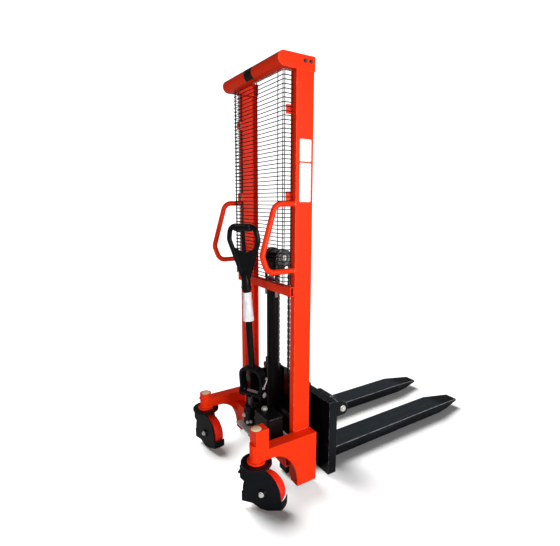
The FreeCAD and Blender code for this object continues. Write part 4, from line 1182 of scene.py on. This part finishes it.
route = [
    (0, loop["foot"], footZ),
    (0, loop["shoulder"], shoulderZ),
    (0, loop["topHalf"], topZ),
    (0, -loop["topHalf"], topZ),
    (0, -loop["shoulder"], shoulderZ),
    (0, -loop["foot"], footZ),
]
ringBar = tubeShape(route, loop["bend"], loop["tube"], count=22, steps=10)
neckProfile = [
    (0, tubeTop),
    (18.5, tubeTop),
    (19.5, tubeTop + 1.5),
    (19.5, tubeTop + 8),
    (21, tubeTop + 14),
    (22, 590),
    (22, 615),
    (19, 634),
    (10, 650),
    (0, 652),
]
neck = latheShape(neckProfile, *upright, 32)
webTop, slotHalf = web["top"], web["slot"]
slotLow = webTop - web["slotDepth"]
webOutline = [
    (-loop["foot"], footZ),
    (loop["foot"], footZ),
    (web["half"], webTop),
    (slotHalf, webTop),
    (slotHalf, slotLow),
    (-slotHalf, slotLow),
    (-slotHalf, webTop),
    (-web["half"], webTop),
]
webPlate = soften(plateShape(webOutline, -web["thickHalf"], web["thickHalf"], "x"), web["edge"])
gripLow = (-grip["x"], -grip["y"], topZ - grip["below"])
gripHigh = (grip["x"], grip["y"], topZ + grip["above"])
topGrip = softBox(gripLow, gripHigh, grip["edge"], grip["segments"])
loopShape = joined(ringBar, neck, webPlate, topGrip)
finished("tillerLoop", loopShape, "tiller", blackPlastic, tillerFrame, ("tiller_loop",))
sleeve = {"low": 402, "high": 551, "topRadius": 21, "lowRadius": 27, "rings": 12, "thick": 0.6}
sleeveWaves = ((1.1, 23), (0.7, 51))
sleeveFolds = ((0.05, 3, 0.03), (0.035, 7, -0.05))
filmProfile = []
for ring in range(sleeve["rings"] + 1):
    share = ring / sleeve["rings"]
    wave = sum(size * sin(share * count) for size, count in sleeveWaves)
    radius = sleeve["lowRadius"] + (sleeve["topRadius"] - sleeve["lowRadius"]) * share + wave
    filmProfile.append((radius, sleeve["low"] + (sleeve["high"] - sleeve["low"]) * share))
film = latheShape(filmProfile, *upright, 40)
for v in film.verts:
    a = Vector((v.co.x, v.co.y)).angle_signed(Vector((1, 0)), 0)
    swell = 1 + sum(size * sin(count * a + slope * v.co.z) for size, count, slope in sleeveFolds)
    v.co.x *= swell
    v.co.y *= swell
bmesh.ops.recalc_face_normals(film, faces=film.faces[:])
bmesh.ops.solidify(film, geom=film.faces[:], thickness=sleeve["thick"])
finished("tubeSleeve", film, "tiller", sleeveFilm, tillerFrame)
band = {"inner": 21.8, "outer": 24, "low": 14, "top": 26}
bandLow, bandTop = tubeTop + band["low"], tubeTop + band["top"]
inner, outer = band["inner"], band["outer"]
bandProfile = [(inner, bandLow), (outer, bandLow), (outer, bandTop), (inner, bandTop)]
neckRing = latheShape(bandProfile, *upright, 32, closed=True)
finished("neckRing", neckRing, "tiller", blackPlastic, tillerFrame)
catch = {"half": 5, "inner": 20, "outer": 29, "over": 2, "edge": 1.5, "boltSink": 0.5}
catchLow = (-catch["half"], catch["inner"], bandLow - catch["over"])
catchHigh = (catch["half"], catch["outer"], bandTop + catch["over"])
catchBolt = hexBolt((0, catch["outer"] - catch["boltSink"], (bandLow + bandTop) / 2), (0, 1, 0), "catch")
catchShape = joined(softBox(catchLow, catchHigh, catch["edge"]), catchBolt)
finished("neckCatch", catchShape, "tiller", zincPlate, tillerFrame)
print("tiller made")

# Floor, light and camera
stageSet = {"floor": 24, "drop": 0.0005, "glow": 0.12, "albedo": 0.30, "bounce": 0.10}
sky = {"air": 0.15, "backdrop": 1.05}
floorShape = bmesh.new()
bmesh.ops.create_grid(floorShape, x_segments=1, y_segments=1, size=stageSet["floor"])
floorMesh = bpy.data.meshes.new("floor")
floorShape.to_mesh(floorMesh)
floorShape.free()
floor = bpy.data.objects.new("floor", floorMesh)
floor.location.z = -stageSet["drop"]
bpy.context.scene.collection.objects.link(floor)
floorFinish = Finish("paleFloor", None)
floorFinish.put(Base_Color=(stageSet["albedo"],) * 3, Roughness=0.9, Specular_IOR_Level=0.0)
floorFinish.put(Emission_Color=(1.0, 1.0, 1.0), Emission_Strength=stageSet["glow"])
# the object gets less light back from the floor than the lens does
seen = floorFinish.node("ShaderNodeLightPath", {}, {}, "Is Camera Ray")
dull = floorFinish.node("ShaderNodeBsdfDiffuse", {}, {"Color": (*(stageSet["bounce"],) * 3, 1)})
bright = Sock(floorFinish, floorFinish.shader.outputs[0])
mixed = floorFinish.node("ShaderNodeMixShader", {}, {0: seen, 1: dull, 2: bright})
floorFinish.tree.links.new(mixed.socket, floorFinish.tree.nodes["Material Output"].inputs["Surface"])
floorMesh.materials.append(floorFinish.material)

world = bpy.data.worlds.new("studio")
bpy.context.scene.world = world
world.use_nodes = True
tree = world.node_tree
path = tree.nodes.new("ShaderNodeLightPath")
level = tree.nodes.new("ShaderNodeMapRange")
level.inputs["To Min"].default_value = sky["air"]
level.inputs["To Max"].default_value = sky["backdrop"]
tree.links.new(path.outputs["Is Camera Ray"], level.inputs["Value"])
air = tree.nodes["Background"]
air.inputs["Color"].default_value = (1, 1, 1, 1)
tree.links.new(level.outputs["Result"], air.inputs["Strength"])

# the names of pieces near the floor, which alone shade it from the two suns
lowPieces = ("caster", "tyre", "hub", "guard", "base_arm", "leg", "fork", "carriage_frame", "pump", "oil")
floorPieces = ("caster", "tyre", "hub", "guard", "leg", "fork")


def lamp(name, spot, target, settings, shades=()):
    sun = "angle" in settings
    light = bpy.data.lights.new(name, "SUN" if sun else "AREA")
    for key, value in settings.items():
        setattr(light, key, value)
    holder = bpy.data.objects.new(name, light)
    holder.location = mastSpot + Vector(spot)
    aim = mastSpot + Vector(target) - holder.location
    holder.rotation_euler = aim.to_track_quat("-Z", "Y").to_euler()
    bpy.context.scene.collection.objects.link(holder)
    holder.visible_glossy = name == "key"  # one lamp makes the highlights
    # the two suns light only the floor, the others only the object
    lit = bpy.data.collections.new(name + "Lit")
    lit.objects.link(floor)
    lit.collection_objects[0].light_linking.link_state = "INCLUDE" if sun else "EXCLUDE"
    holder.light_linking.receiver_collection = lit
    if shades:
        shading = bpy.data.collections.new(name + "Shading")
        for piece in bpy.context.scene.collection.objects:
            if piece.type == "MESH" and piece.name.startswith(shades):
                shading.objects.link(piece)
        holder.light_linking.blocker_collection = shading


lamp("overhead", (-0.1, 0.5, 1.0), (0, 0, 0), {"energy": 4.8, "angle": radians(27)}, lowPieces)
lamp("slant", (-0.25, 0.9, 1.0), (0, 0, 0), {"energy": 6.7, "angle": radians(36)}, floorPieces)
lamp("key", (0.5, -3.6, 1.5), (0.1, 0, 0.9), {"energy": 132, "size": 2.6})
lamp("fill", (-3.4, 0.6, 1.7), (0, 0, 0.9), {"energy": 25, "size": 2.2})
lamp("low", (-1.5, -1.2, 0.25), (-0.2, 0.25, 0.12), {"energy": 9, "size": 0.6})
lamp("back", (2.6, 3.0, 2.0), (0.2, 0, 0.8), {"energy": 85, "size": 2.4})

shot = {"spot": (-1.0455, -1.7872, 1.3702), "yaw": 0.566, "pitch": 0.169, "roll": 0.003, "lens": 26.53}
eye = bpy.data.cameras.new("photoView")
eye.sensor_fit = "HORIZONTAL"
eye.sensor_width = 36
eye.lens = shot["lens"]
camera = bpy.data.objects.new("photoView", eye)
camera.matrix_world = (
    Matrix.Translation(mastSpot + Vector(shot["spot"]))
    @ Matrix.Rotation(-shot["yaw"], 4, "Z")
    @ Matrix.Rotation(pi / 2 - shot["pitch"], 4, "X")
    @ Matrix.Rotation(shot["roll"], 4, "Z")
)
bpy.context.scene.collection.objects.link(camera)
bpy.context.scene.camera = camera
bpy.context.scene.view_settings.view_transform = "Standard"
bpy.context.scene.view_settings.look = "Medium High Contrast"
print("stage, light and camera set")
